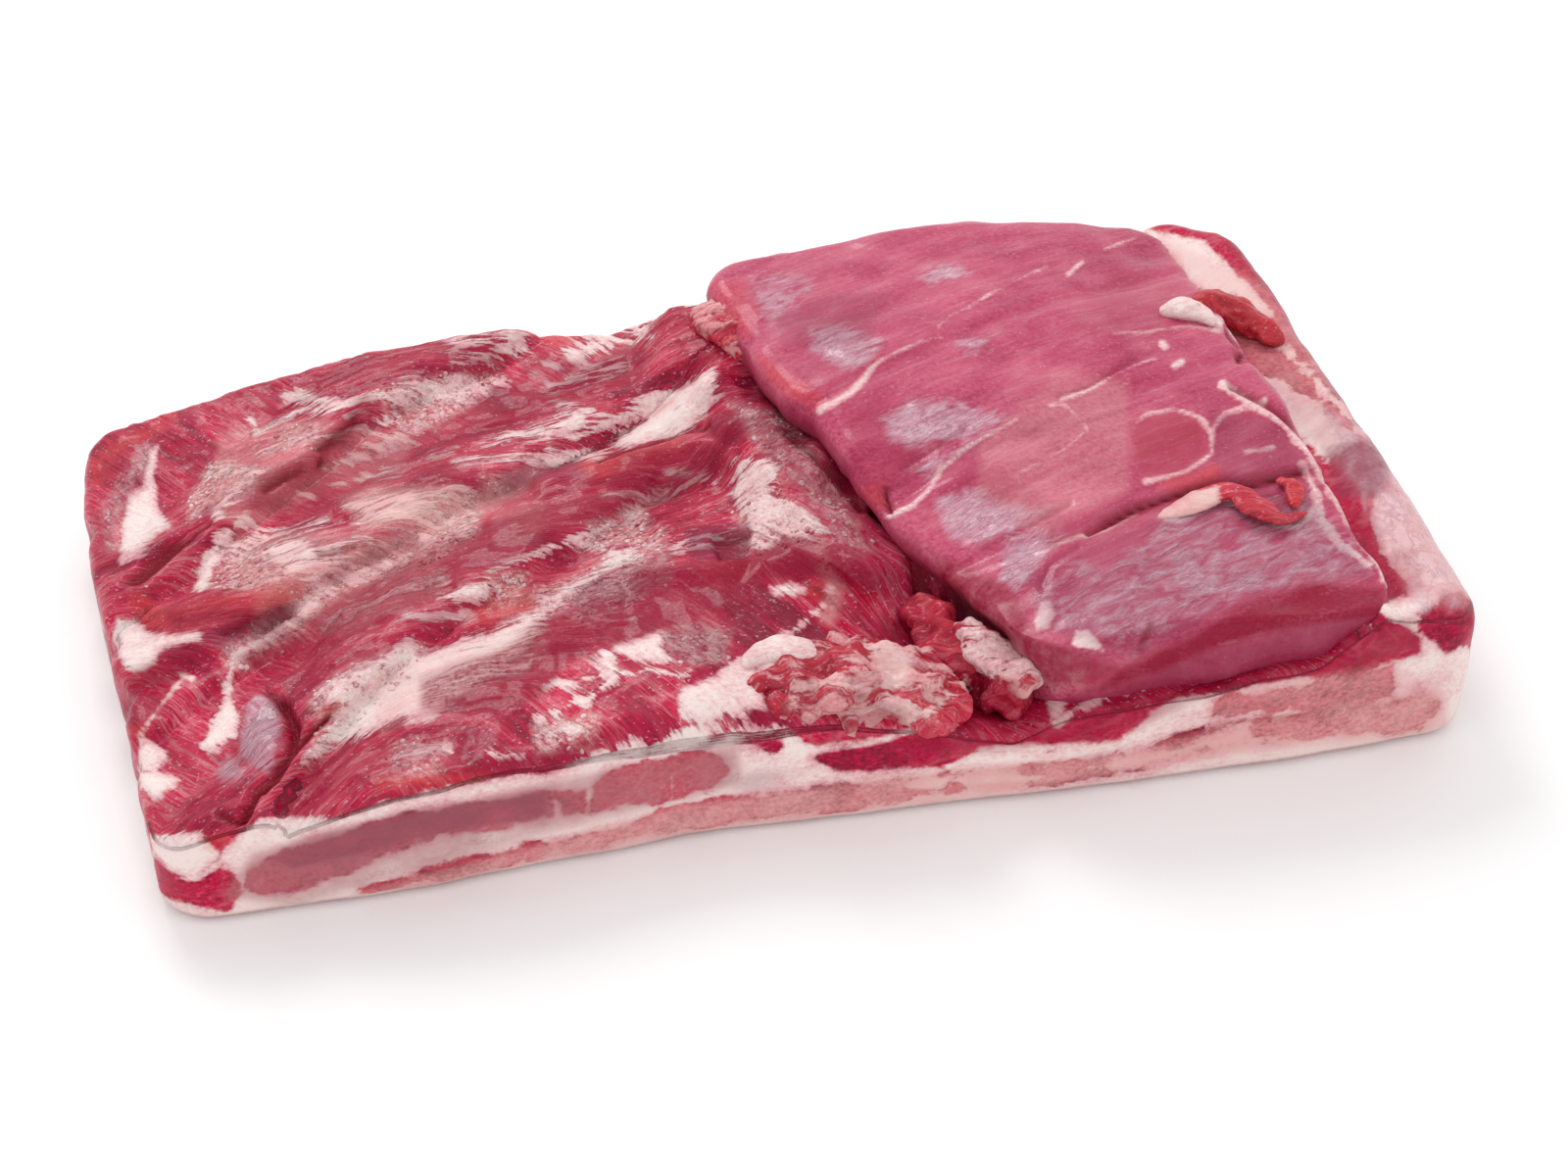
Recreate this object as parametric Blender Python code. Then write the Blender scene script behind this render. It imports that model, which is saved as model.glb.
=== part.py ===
"""Boned pork belly slab, rib side up: one solid of lean and fat.

Metres, +Z up. +X runs along the slab from the rib end to the flank end, +Y
runs from the cut front face to the back edge. The origin is the centre of the
flat underside.

The slab is a block whose sides and top follow a few outlines. Its rib side
carries the furrows that the ribs left. The thick flank muscle lies over the
other half as a flap with a free, undercut edge. Ragged trimmings hang on at
the front and along the flap.
"""

import math

import bmesh
import bpy
import numpy as np
from mathutils import Euler, Matrix, Vector, noise

NAME = "pork_belly"
MM = 0.001

# The slab's own block, before its sides are shaped.
SLAB_LENGTH = 318 * MM
SLAB_DEPTH = 170 * MM
RIB_CELL = 4.5 * MM
FLANK_CELL = 7.5 * MM
FLANK_START = 26 * MM
CORNER_RADIUS = 11 * MM
UNDER_ROUND = 5 * MM
RIM_ROUND = 5 * MM
FLANK_RIM_ROUND = 3 * MM
SLAB_PLAIN_ROWS = 3
SETTLE_WIDTH = 30 * MM

# The flap of flank muscle.
FLAP_X = (8 * MM, 138 * MM)
FLAP_Y = (-79 * MM, 85 * MM)
FLAP_CELL = 5.4 * MM
FLAP_CORNER = 12 * MM
FLAP_ROUND = 7 * MM
FLAP_UNDER_ROUND = 8 * MM
FLAP_PLAIN_ROWS = 2
FLAP_SINK = 9 * MM
FLAP_FRONT_HEIGHT = 42 * MM
FLAP_BACK_HEIGHT = 54 * MM

# Unevenness that all cut meat has.
SWELL_HEIGHT = 1.1 * MM
SWELL_LENGTH = 34 * MM
LUMP_HEIGHT = 0.7 * MM
LUMP_LENGTH = 11 * MM

# The furrows left by the ribs, front to back: points along each one (mm),
# how far it sinks and how high the muscle behind it stands (mm).
FURROWS = (
    (((-128, -94), (-114, -72), (-100, -52), (-88, -40), (-70, -28), (-46, -13), (-18, 10)), 2.6, 5.0),
    (((-164, -54), (-150, -45), (-128, -30), (-118, -24)), 2.0, 2.4),
    (((-160, -24), (-128, -20), (-110, -10), (-97, -2), (-64, 15), (-40, 25), (-8, 47)), 2.6, 4.6),
    (((-162, -4), (-145, 4), (-126, 22), (-101, 40), (-84, 56), (-50, 70), (-25, 88)), 3.2, 4.4),
)
FURROW_FRONT_FADE = 10 * MM
FURROW_STEEP = 4.5 * MM
FURROW_BACK_FADE = 22 * MM
FURROW_END_FADE = 22 * MM

# Grooves between the muscle layers along the front face: the height of each
# groove at its left and right end, where it starts and ends, and its depth.
FRONT_GROOVES = (
    ((36 * MM, 9 * MM), (150 * MM, 17 * MM), 1.6 * MM),
    ((-128 * MM, 12 * MM), (-28 * MM, 20 * MM), 0.9 * MM),
)
GROOVE_WIDTH = 1.8 * MM

# Ragged bits that stay fused to the slab: middle, half sizes and turn about
# Z, Y and X in degrees.
TRIMMINGS = (
    ("front_chunk", (10, -69, 27), (27, 15, 9), (-8, 0, 8)),
    ("front_chunk_end", (29, -77, 25), (12, 9, 7), (20, 8, 0)),
    ("front_fat", (-3, -66, 33), (9, 5, 4), (-25, 0, 0)),
    ("flap_corner_fat", (47, -80, 30), (8, 6, 5), (10, 0, 0)),
    ("centre_blob", (-4, 34, 36), (10, 7, 6), (30, 0, 0)),
    ("flap_corner_lump", (13, 67, 45), (10, 12, 6), (0, 10, 0)),
    ("flap_petal", (112, -55, 45.5), (13, 4, 3), (-28, 0, 0)),
    ("back_scrap", (133, 34, 48), (5, 12, 4), (-20, 0, 0)),
    ("back_fat", (121, 30, 51), (6, 5, 4), (0, 0, 0)),
)

TRIMMING_LUMPS = 0.22

WELD_DISTANCE = 0.0005 * MM

LEAN_COLOUR = (0.42, 0.045, 0.07, 1.0)
LEAN_ROUGHNESS = 0.35


def smooth(edge0, edge1, value):
    """Smooth step from 0 at edge0 to 1 at edge1."""
    share = np.clip((value - edge0) / (edge1 - edge0), 0.0, 1.0)
    return share * share * (3.0 - 2.0 * share)


def bell(value, middle, width):
    """Smooth bump of height 1 at the middle."""
    return math.exp(-(((value - middle) / width) ** 2))


def along(value, *points):
    """Height of a bent line through the given (place, height) points, in mm."""
    places = [place * MM for place, _ in points]
    heights = [height * MM for _, height in points]
    return float(np.interp(value, places, heights))


def unevenness(x, y, z):
    """Slow swells and small lumps of soft meat."""
    swell = noise.noise(Vector((x, y, z)) / SWELL_LENGTH + Vector((3.1, 8.7, 1.9)))
    lump = noise.noise(Vector((x, y, z)) / LUMP_LENGTH + Vector((7.3, 2.2, 5.8)))
    return SWELL_HEIGHT * swell + LUMP_HEIGHT * lump


# ---------------------------------------------------------------- outlines

def slab_left(y):
    """Rib end: it leans out towards the back, with notches where furrows end."""
    edge = along(y, (-90, -147.5), (-39, -152.5), (2, -156.5), (27, -159.5), (52, -161), (86, -160))
    notches = ((-45, 2.0), (-23, 3.5), (-2, 3.5), (46, 2.0))
    return edge + sum(depth * MM * bell(y, place * MM, 5 * MM) for place, depth in notches)


def slab_right(y):
    """Flank end: almost straight."""
    return along(y, (-88, 160), (-40, 162), (20, 162.5), (60, 162), (88, 158.5))


def slab_front(x):
    """Front face: a clean, slightly wavy cut."""
    return along(x, (-150, -84), (-99, -85.5), (-63, -84), (-31, -82), (5, -84), (61, -87), (109, -89), (158, -87))


def slab_back(x):
    """Back edge."""
    return along(x, (-160, 83), (-80, 84.5), (0, 84), (60, 86.5), (150, 85))


def furrow_relief(x, y):
    """Height that the furrows and the muscles between them add."""
    total = 0.0
    for points, sink, stand in FURROWS:
        places = np.array([point[0] for point in points]) * MM
        lines = np.array([point[1] for point in points]) * MM
        line = float(np.interp(x, places, lines))
        fade = smooth(places[0] - FURROW_END_FADE, places[0], x)
        fade *= 1.0 - smooth(places[-1], places[-1] + FURROW_END_FADE, x)
        slope = (lines[-1] - lines[0]) / (places[-1] - places[0])
        reach = (y - line) / math.hypot(1.0, slope)
        if reach < 0.0:
            height = -sink * math.exp(reach / FURROW_FRONT_FADE)
        else:
            rise = 1.0 - math.exp(-reach / FURROW_STEEP)
            height = -sink * (1.0 - rise) + stand * rise * math.exp(-reach / FURROW_BACK_FADE)
        total += fade * height * MM
    return total


def slab_top(x, y):
    """Height of the slab without the flap."""
    ribs = along(x, (-160, 19), (-130, 25), (-96, 31), (-70, 34), (-20, 34), (4, 32), (30, 25), (45, 20))
    back_rise = along(x, (-160, 2), (-122, 5), (-78, 3), (-36, 5), (-16, 0), (30, 2)) * smooth(30 * MM, 80 * MM, y)
    flank = along(x, (45, 20), (118, 27), (133, 38.5), (158, 40))
    flank += 2 * MM * smooth(118 * MM, 136 * MM, x) * smooth(-60 * MM, 60 * MM, y)
    base = ribs if x < 45 * MM else flank
    flap_bed = 4 * MM * smooth(30 * MM, 85 * MM, y) * smooth(0.0, 30 * MM, x)
    on_ribs = 1.0 - smooth(8 * MM, 34 * MM, x)
    return base + flap_bed + back_rise + on_ribs * furrow_relief(x, y) + unevenness(x, y, 0.0)


def rim_round(x, y):
    """Radius of the slab's upper rim, softer where the front face falls away."""
    sloping = 9 * MM * bell(x, -24 * MM, 24 * MM) * (1.0 - smooth(-70 * MM, -30 * MM, y))
    flank = (FLANK_RIM_ROUND - RIM_ROUND) * smooth(30 * MM, 50 * MM, x)
    end = 7 * MM * smooth(138 * MM, 156 * MM, x)
    return RIM_ROUND + sloping + flank + end


def front_grooves(x, z):
    """Depth of the grooves in the front face."""
    depth = 0.0
    for (x0, z0), (x1, z1), sink in FRONT_GROOVES:
        share = (x - x0) / (x1 - x0)
        height = z0 + (z1 - z0) * share
        fade = smooth(0.0, 0.08, share) * (1.0 - smooth(0.9, 1.0, share))
        depth += sink * fade * bell(z, height, GROOVE_WIDTH)
    return depth


def slab_side_relief(x, y, z):
    """How far the sides of the slab lie in from their outlines."""
    front = 1.0 - smooth(-80 * MM, -60 * MM, y)
    return front * front_grooves(x, z) + 0.6 * unevenness(x, y, z + 1.0)


def flap_underside(x, y):
    """Height of the flap's hidden underside, along the seam on the front face."""
    seam = along(x, (40, 17), (134, 29))
    return seam - FLAP_SINK * smooth(-74 * MM, -62 * MM, y)


def flap_left(y):
    """Free edge of the flap: it steps back towards the front."""
    return along(
        y, (-84, 68), (-78, 50), (-58, 41), (-48, 36), (-37, 29), (-20, 24), (7, 19), (18, 13), (50, 7), (84, 4)
    )


def flap_right(y):
    """Seam between the flap and the flank end."""
    return along(y, (-84, 131), (-20, 135), (30, 137), (60, 138), (84, 136))


def flap_front(x):
    """Cut face of the flap, flush with the front of the slab on the right."""
    return along(x, (30, -74), (60, -81), (75, -80), (100, -82), (132, -84))


def flap_back(x):
    """Back edge of the flap."""
    return along(x, (0, 80), (30, 84.5), (70, 86), (135, 84))


def flap_top(x, y):
    """Top of the flap: a broad, low dome that droops at its front left corner."""
    height = FLAP_FRONT_HEIGHT + (FLAP_BACK_HEIGHT - FLAP_FRONT_HEIGHT) * smooth(-95 * MM, 40 * MM, y)
    droop = 7 * MM * (1.0 - smooth(30 * MM, 80 * MM, x)) * (1.0 - smooth(-80 * MM, 10 * MM, y))
    crown = 2.5 * MM * bell(x, 62 * MM, 40 * MM)
    far_end = 5 * MM * smooth(95 * MM, 140 * MM, x) * smooth(-20 * MM, 70 * MM, y)
    seams = sum(
        1.2 * MM * bell(y - slope * (x - 80 * MM), place * MM, 2.6 * MM)
        for place, slope in ((-44, 0.12), (-8, 0.35), (34, 0.4))
    )
    return height + crown - droop - far_end - seams + unevenness(x, y, 1.0)


# ------------------------------------------------------------------ blocks

def even_cuts(start, end, cell):
    """Places of the cuts that split a stretch into even cells."""
    count = max(1, round((end - start) / cell))
    return [start + (end - start) * step / count for step in range(1, count)]


def cut_block(size_x, size_y, rows, cuts_x, cuts_y):
    """A cube cut into cells: nominal X and Y, and Z counted in rows."""
    mesh = bmesh.new()
    bmesh.ops.create_cube(mesh, size=1.0)
    bmesh.ops.scale(mesh, vec=(size_x, size_y, rows), verts=mesh.verts)
    bmesh.ops.translate(mesh, vec=(0.0, 0.0, rows / 2), verts=mesh.verts)
    for axis, cuts in enumerate((cuts_x, cuts_y, range(1, rows))):
        normal = Vector((0.0, 0.0, 0.0))
        normal[axis] = 1.0
        for cut in cuts:
            everything = mesh.verts[:] + mesh.edges[:] + mesh.faces[:]
            bmesh.ops.bisect_plane(mesh, geom=everything, plane_co=normal * cut, plane_no=normal, dist=1e-7)
    return mesh


def round_plan(x, y, half, corner, inset):
    """Pull a point of the block inwards and round the block's upright corners."""
    moved = []
    for value, reach in ((x, half[0]), (y, half[1])):
        wall = reach - abs(value)
        pull = inset * max(0.0, 1.0 - wall / SETTLE_WIDTH)
        moved.append(math.copysign(abs(value) - pull, value))
    over = [max(0.0, abs(value) - (reach - corner)) for value, reach in zip(moved, half)]
    if min(over) > 0.0:
        circle = max(over) / math.hypot(*over)
        moved = [
            math.copysign(reach - corner + past * circle, value)
            for value, reach, past in zip(moved, half, over)
        ]
    return moved


class Block:
    """A cut cube that is shaped by four edge outlines, a floor and a top.

    The rows of its sides are, from below: two round the under edge, the plain
    rows, and three round the upper rim.
    """

    UNDER_ANGLES = (90.0, 45.0, 0.0)
    RIM_ANGLES = (0.0, 30.0, 60.0, 90.0)

    def __init__(self, span_x, span_y, cuts_x, cuts_y, corner, plain_rows):
        self.middle = ((span_x[0] + span_x[1]) / 2, (span_y[0] + span_y[1]) / 2)
        self.half = ((span_x[1] - span_x[0]) / 2, (span_y[1] - span_y[0]) / 2)
        self.corner = corner
        self.plain_rows = plain_rows
        self.rows = len(self.UNDER_ANGLES) - 1 + plain_rows + len(self.RIM_ANGLES) - 1
        cuts_x = [cut - self.middle[0] for cut in cuts_x]
        cuts_y = [cut - self.middle[1] for cut in cuts_y]
        self.mesh = cut_block(2 * self.half[0], 2 * self.half[1], self.rows, cuts_x, cuts_y)

    def side_row(self, row, floor, top, under, rim):
        """Inset and height of one row of a side."""
        low = len(self.UNDER_ANGLES) - 1
        high = low + self.plain_rows
        if row <= low:
            angle = math.radians(self.UNDER_ANGLES[row])
            return under * (1.0 - math.cos(angle)), floor + under * (1.0 - math.sin(angle))
        if row >= high:
            angle = math.radians(self.RIM_ANGLES[row - high])
            return rim * (1.0 - math.cos(angle)), top - rim * (1.0 - math.sin(angle))
        share = (row - low) / self.plain_rows
        return 0.0, (floor + under) * (1.0 - share) + (top - rim) * share

    def place(self, x, y, edges, inset):
        """Point of the plan that a nominal point of the cube moves to."""
        left, right, front, back = edges
        x, y = round_plan(x, y, self.half, self.corner, inset)
        share_x = (x + self.half[0]) / (2 * self.half[0])
        share_y = (y + self.half[1]) / (2 * self.half[1])
        nominal_y = self.middle[1] + y
        plan_x = left(nominal_y) * (1.0 - share_x) + right(nominal_y) * share_x
        plan_y = front(plan_x) * (1.0 - share_y) + back(plan_x) * share_y
        return plan_x, plan_y

    def shape(self, edges, floor, top, under, rim, side_relief):
        """Move every point of the cut cube to its place on the meat."""
        for vert in self.mesh.verts:
            x, y = vert.co.x, vert.co.y
            row = round(vert.co.z)
            rim_here = rim(*self.place(x, y, edges, 0.0))
            rim_place = self.place(x, y, edges, rim_here)
            foot_place = self.place(x, y, edges, under)
            on_side = min(self.half[0] - abs(x), self.half[1] - abs(y)) < 1e-6
            if on_side:
                inset, z = self.side_row(row, floor(*foot_place), top(*rim_place), under, rim_here)
                plan = self.place(x, y, edges, inset + side_relief(*rim_place, z))
            elif row == 0:
                plan, z = foot_place, floor(*foot_place)
            else:
                plan, z = rim_place, top(*rim_place)
            vert.co = (*plan, z)
        bmesh.ops.recalc_face_normals(self.mesh, faces=self.mesh.faces)
        return self.mesh


def merge_flat_underside(mesh):
    """Make the flat underside one face."""
    under = [face for face in mesh.faces if all(vert.co.z < 1e-6 for vert in face.verts)]
    bmesh.ops.dissolve_faces(mesh, faces=under, use_verts=True)


def trimming_mesh(middle, half_sizes, turns):
    """A lumpy ellipsoid of meat or fat, given in mm and degrees."""
    mesh = bmesh.new()
    bmesh.ops.create_uvsphere(mesh, u_segments=16, v_segments=9, radius=1.0)
    turn = Euler([math.radians(angle) for angle in reversed(turns)]).to_matrix().to_4x4()
    place = Matrix.Translation(Vector(middle) * MM)
    for vert in mesh.verts:
        lump = 1.0 + TRIMMING_LUMPS * noise.noise(vert.co * 1.7 + Vector(middle))
        vert.co = Vector([value * half * MM for value, half in zip(vert.co * lump, half_sizes)])
    bmesh.ops.transform(mesh, matrix=place @ turn, verts=mesh.verts)
    return mesh


def add_object(name, mesh, material, collection):
    """Make an object from a bmesh and give it the material."""
    data = bpy.data.meshes.new(name)
    mesh.to_mesh(data)
    mesh.free()
    data.materials.append(material)
    piece = bpy.data.objects.new(name, data)
    collection.objects.link(piece)
    return piece


def lean_material():
    """Raw lean meat, a little wet."""
    material = bpy.data.materials.new("raw_meat")
    material.use_nodes = True
    shader = material.node_tree.nodes["Principled BSDF"]
    shader.inputs["Base Color"].default_value = LEAN_COLOUR
    shader.inputs["Roughness"].default_value = LEAN_ROUGHNESS
    shader.inputs["Metallic"].default_value = 0.0
    return material


def slab_mesh():
    """The slab with its furrows and grooves, without the flap."""
    half_x, half_y = SLAB_LENGTH / 2, SLAB_DEPTH / 2
    cuts_x = even_cuts(-half_x, FLANK_START, RIB_CELL) + [FLANK_START] + even_cuts(FLANK_START, half_x, FLANK_CELL)
    cuts_y = even_cuts(-half_y, half_y, RIB_CELL)
    block = Block((-half_x, half_x), (-half_y, half_y), cuts_x, cuts_y, CORNER_RADIUS, SLAB_PLAIN_ROWS)
    mesh = block.shape(
        (slab_left, slab_right, slab_front, slab_back),
        lambda x, y: 0.0,
        slab_top,
        UNDER_ROUND,
        rim_round,
        slab_side_relief,
    )
    merge_flat_underside(mesh)
    return mesh


def flap_mesh():
    """The flap of flank muscle."""
    cuts_x = even_cuts(*FLAP_X, FLAP_CELL)
    cuts_y = even_cuts(*FLAP_Y, FLAP_CELL)
    block = Block(FLAP_X, FLAP_Y, cuts_x, cuts_y, FLAP_CORNER, FLAP_PLAIN_ROWS)
    return block.shape(
        (flap_left, flap_right, flap_front, flap_back),
        flap_underside,
        flap_top,
        FLAP_UNDER_ROUND,
        lambda x, y: FLAP_ROUND,
        lambda x, y, z: 0.6 * unevenness(x, y, z + 1.0),
    )


def fuse(slab, extras):
    """Join everything in the collection to the slab as one closed solid."""
    union = slab.modifiers.new("fuse", "BOOLEAN")
    union.operation = "UNION"
    union.operand_type = "COLLECTION"
    union.collection = extras
    union.solver = "MANIFOLD"
    bpy.context.view_layer.update()
    fused = bpy.data.meshes.new_from_object(slab.evaluated_get(bpy.context.evaluated_depsgraph_get()))
    slab.modifiers.remove(union)
    slab.data = fused
    for piece in list(extras.objects):
        bpy.data.objects.remove(piece)
    bpy.data.collections.remove(extras)


def settle(piece):
    """Weld stray points and put the origin at the centre of the underside."""
    mesh = bmesh.new()
    mesh.from_mesh(piece.data)
    bmesh.ops.remove_doubles(mesh, verts=mesh.verts, dist=WELD_DISTANCE)
    bmesh.ops.dissolve_degenerate(mesh, edges=mesh.edges, dist=WELD_DISTANCE)
    loose = [edge for edge in mesh.edges if not edge.link_faces]
    bmesh.ops.delete(mesh, geom=loose, context="EDGES")
    bmesh.ops.triangulate(mesh, faces=mesh.faces)
    points = np.array([vert.co for vert in mesh.verts])
    low, high = points.min(axis=0), points.max(axis=0)
    bmesh.ops.translate(mesh, vec=(-(low[0] + high[0]) / 2, -(low[1] + high[1]) / 2, -low[2]), verts=mesh.verts)
    mesh.to_mesh(piece.data)
    mesh.free()
    piece.data.shade_smooth()
    piece.data.set_sharp_from_angle(angle=math.radians(60))


def main():
    """Build the slab."""
    for old in list(bpy.data.objects):
        bpy.data.objects.remove(old)
    parts = bpy.data.collections.new(NAME + "_parts")
    extras = bpy.data.collections.new(NAME + "_extras")
    bpy.context.scene.collection.children.link(parts)
    bpy.context.scene.collection.children.link(extras)
    material = lean_material()
    slab = add_object(NAME, slab_mesh(), material, parts)
    add_object("flap", flap_mesh(), material, extras)
    for name, middle, half_sizes, turns in TRIMMINGS:
        add_object(name, trimming_mesh(middle, half_sizes, turns), material, extras)
    fuse(slab, extras)
    settle(slab)


main()
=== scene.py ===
"""Looks of a boned pork belly slab that lies rib side up.

The slab and the flap of flank muscle on it are fine closed meshes that follow
the same outlines as the solid. Marks, placed in the pixels of one 1600x1200
view, say where fat, lean, film and clefts lie; they are kept on the vertices,
raise or sink the surface, and steer the finishes. Film marks also carry painted
sheen and highlights, and clefts and hollows are darkened with painted shade.
Sizes are in metres.
"""

import logging
import math
from collections.abc import Mapping, Sequence
from dataclasses import dataclass
from enum import Enum
from typing import ClassVar

import bmesh
import bpy
import numpy as np
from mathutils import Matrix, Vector, noise


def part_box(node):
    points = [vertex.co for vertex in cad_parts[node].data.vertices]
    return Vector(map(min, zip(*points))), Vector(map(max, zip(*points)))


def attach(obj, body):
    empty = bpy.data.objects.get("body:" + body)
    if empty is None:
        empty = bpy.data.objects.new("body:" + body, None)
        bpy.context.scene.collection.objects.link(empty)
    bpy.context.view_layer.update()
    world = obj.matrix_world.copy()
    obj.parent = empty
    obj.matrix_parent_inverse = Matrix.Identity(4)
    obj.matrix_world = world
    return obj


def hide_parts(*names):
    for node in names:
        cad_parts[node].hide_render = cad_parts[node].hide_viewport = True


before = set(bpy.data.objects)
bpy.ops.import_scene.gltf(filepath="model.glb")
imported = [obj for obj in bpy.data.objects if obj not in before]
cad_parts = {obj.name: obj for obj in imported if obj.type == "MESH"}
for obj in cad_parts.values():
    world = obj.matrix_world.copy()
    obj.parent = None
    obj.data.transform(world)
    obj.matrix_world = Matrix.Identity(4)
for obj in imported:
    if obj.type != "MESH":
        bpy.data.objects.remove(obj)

LOG = logging.getLogger("pork_belly")
MM = 0.001
NODE = "pork_belly"
BODY = "root"

Point = tuple[float, float]
Colour = tuple[float, float, float]


# ------------------------------------------------------------------- numbers

def smooth(low: float, high: float, value: np.ndarray) -> np.ndarray:
    """Smooth step from 0 at low to 1 at high."""
    share = np.clip((value - low) / (high - low), 0.0, 1.0)
    return share * share * (3.0 - 2.0 * share)


def bell(value: np.ndarray, middle: float, width: float) -> np.ndarray:
    """Smooth bump of height 1 at the middle."""
    return np.exp(-(((value - middle) / width) ** 2))


def along(value: np.ndarray, *points: Point) -> np.ndarray:
    """Height of a bent line through (place, height) points, all in mm."""
    return np.interp(value, [p[0] * MM for p in points], [p[1] * MM for p in points])


def turned(points: np.ndarray, turn: float) -> np.ndarray:
    """Places in a space whose first axis is turned by some degrees in the plan.

    Args:
        points: Places, one row each.
        turn: Turn in degrees, anticlockwise from +X.

    Returns:
        The same places in the turned space.
    """
    cos, sin = math.cos(math.radians(turn)), math.sin(math.radians(turn))
    u = points[:, 0] * cos + points[:, 1] * sin
    v = points[:, 1] * cos - points[:, 0] * sin
    return np.column_stack((u, v, points[:, 2]))


def noise_at(places: np.ndarray) -> np.ndarray:
    """Gradient noise from about -1 to 1, one value for each row."""
    return np.array([noise.noise(place) for place in places.tolist()])


def swells(
    x: np.ndarray, y: np.ndarray, z: np.ndarray | float, length: float, shift: Sequence[float]
) -> np.ndarray:
    """Gradient noise from about -1 to 1 with bumps of one length."""
    return noise_at(np.column_stack(np.broadcast_arrays(x, y, z)) / length + np.array(shift))


def streaks(
    points: np.ndarray, lengths: Sequence[float], turn: float = 0.0, shift: float = 0.0
) -> np.ndarray:
    """Gradient noise stretched along a direction.

    Args:
        points: Places, one row each.
        lengths: Length of a bump (mm) along, across and upwards.
        turn: Direction of the first length, degrees from +X.
        shift: Offset that picks another draw.

    Returns:
        One value from about -1 to 1 for each place.
    """
    return noise_at(turned(points, turn) / (np.array(lengths) * MM) + shift)


def linear(red: int, green: int, blue: int) -> Colour:
    """Scene colour of a screen colour given from 0 to 255."""
    parts = [value / 255.0 for value in (red, green, blue)]
    return tuple(p / 12.92 if p <= 0.04045 else ((p + 0.055) / 1.055) ** 2.4 for p in parts)


# ---------------------------------------------------------------------- view

@dataclass(frozen=True)
class View:
    """The camera, and the pixel frame in which marks are placed."""

    azimuth: float = -13.0
    elevation: float = 38.0
    angle: float = 34.0
    distance: float = 0.66048
    target: tuple[float, float, float] = (0.01142, 0.00652, 0.0)
    width: int = 1600
    height: int = 1200
    sensor: float = 36.0
    clip_start: float = 0.01
    facing_edge: Point = (-0.02, 0.14)

    def axes(self) -> tuple[np.ndarray, np.ndarray, np.ndarray]:
        """Directions to the right, upwards and back towards the camera."""
        turn, rise = math.radians(self.azimuth), math.radians(self.elevation)
        back = np.array((math.sin(turn) * math.cos(rise), -math.cos(turn) * math.cos(rise), math.sin(rise)))
        right = np.array((math.cos(turn), math.sin(turn), 0.0))
        return right, np.cross(back, right), back

    def place(self) -> np.ndarray:
        """Where the camera stands."""
        return np.array(self.target) + self.axes()[2] * self.distance

    def focal(self) -> float:
        """Focal length in pixels."""
        return self.width / 2 / math.tan(math.radians(self.angle / 2))

    def pixels(self, points: np.ndarray) -> np.ndarray:
        """Pixel coordinates of points of the scene.

        Args:
            points: Places, one row each.

        Returns:
            Pixels across and down, one row each.
        """
        right, up, back = self.axes()
        past = points - self.place()
        depth = -(past @ back)
        across = self.width / 2 + self.focal() * (past @ right) / depth
        down = self.height / 2 - self.focal() * (past @ up) / depth
        return np.column_stack((across, down))

    def facing(self, points: np.ndarray, normals: np.ndarray) -> np.ndarray:
        """1 where the surface looks at the camera and 0 where it looks away."""
        towards = self.place() - points
        towards /= np.linalg.norm(towards, axis=1, keepdims=True)
        return smooth(*self.facing_edge, (towards * normals).sum(axis=1))

    def camera(self) -> bpy.types.Object:
        """Make the scene's camera."""
        data = bpy.data.cameras.new("camera")
        data.sensor_width = self.sensor
        data.lens = self.sensor / 2 / math.tan(math.radians(self.angle / 2))
        data.clip_start = self.clip_start
        camera = bpy.data.objects.new("camera", data)
        camera.location = Vector(self.place())
        camera.rotation_mode = "QUATERNION"
        camera.rotation_quaternion = (-Vector(self.axes()[2])).to_track_quat("-Z", "Y")
        bpy.context.scene.collection.objects.link(camera)
        bpy.context.scene.camera = camera
        return camera


VIEW = View()
PIXELS_PER_MM = 3.96


# --------------------------------------------------------------------- marks

class Mark(Enum):
    """What a mark says about the meat under it."""

    FAT = "fat"
    LEAN = "lean"
    DEEP = "deep"
    # cleft marks darken clefts and hollows with painted shade
    CLEFT_SHADE = "cleft"
    WARM = "warm"
    PALE = "pale"
    # film marks paint the film together with painted sheen and highlights
    FILM_AND_SHEEN = "film"
    MAUVE = "mauve"
    GRAIN = "grain"
    RELIEF = "relief"


@dataclass(frozen=True)
class Stroke:
    """A brush stroke along a bent line of pixels."""

    mark: Mark
    points: tuple[Point, ...]
    start: float
    end: float
    fray: float = 0.8
    strength: float = 1.0
    sink: float = 0.0

    def outline(self) -> np.ndarray:
        """The stroke's points."""
        return np.array(self.points, float)

    def reach(self, pixels: np.ndarray) -> np.ndarray:
        """Distance in mm from the edge of the stroke, positive inside it.

        Args:
            pixels: Places in the pixel frame, one row each.

        Returns:
            The distance for each place.
        """
        line = self.outline()
        if len(line) == 1:
            return self.start - np.linalg.norm(pixels - line[0], axis=1) / PIXELS_PER_MM
        steps = np.linalg.norm(np.diff(line, axis=0), axis=1)
        travelled = np.concatenate(((0.0,), np.cumsum(steps))) / steps.sum()
        best = np.full(len(pixels), -1e9)
        for index, (first, second) in enumerate(zip(line[:-1], line[1:])):
            way = second - first
            share = np.clip(((pixels - first) @ way) / (way @ way), 0.0, 1.0)
            gap = np.linalg.norm(pixels - first - share[:, None] * way, axis=1) / PIXELS_PER_MM
            place = travelled[index] + share * (travelled[index + 1] - travelled[index])
            best = np.maximum(best, self.start + (self.end - self.start) * place - gap)
        return best


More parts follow.
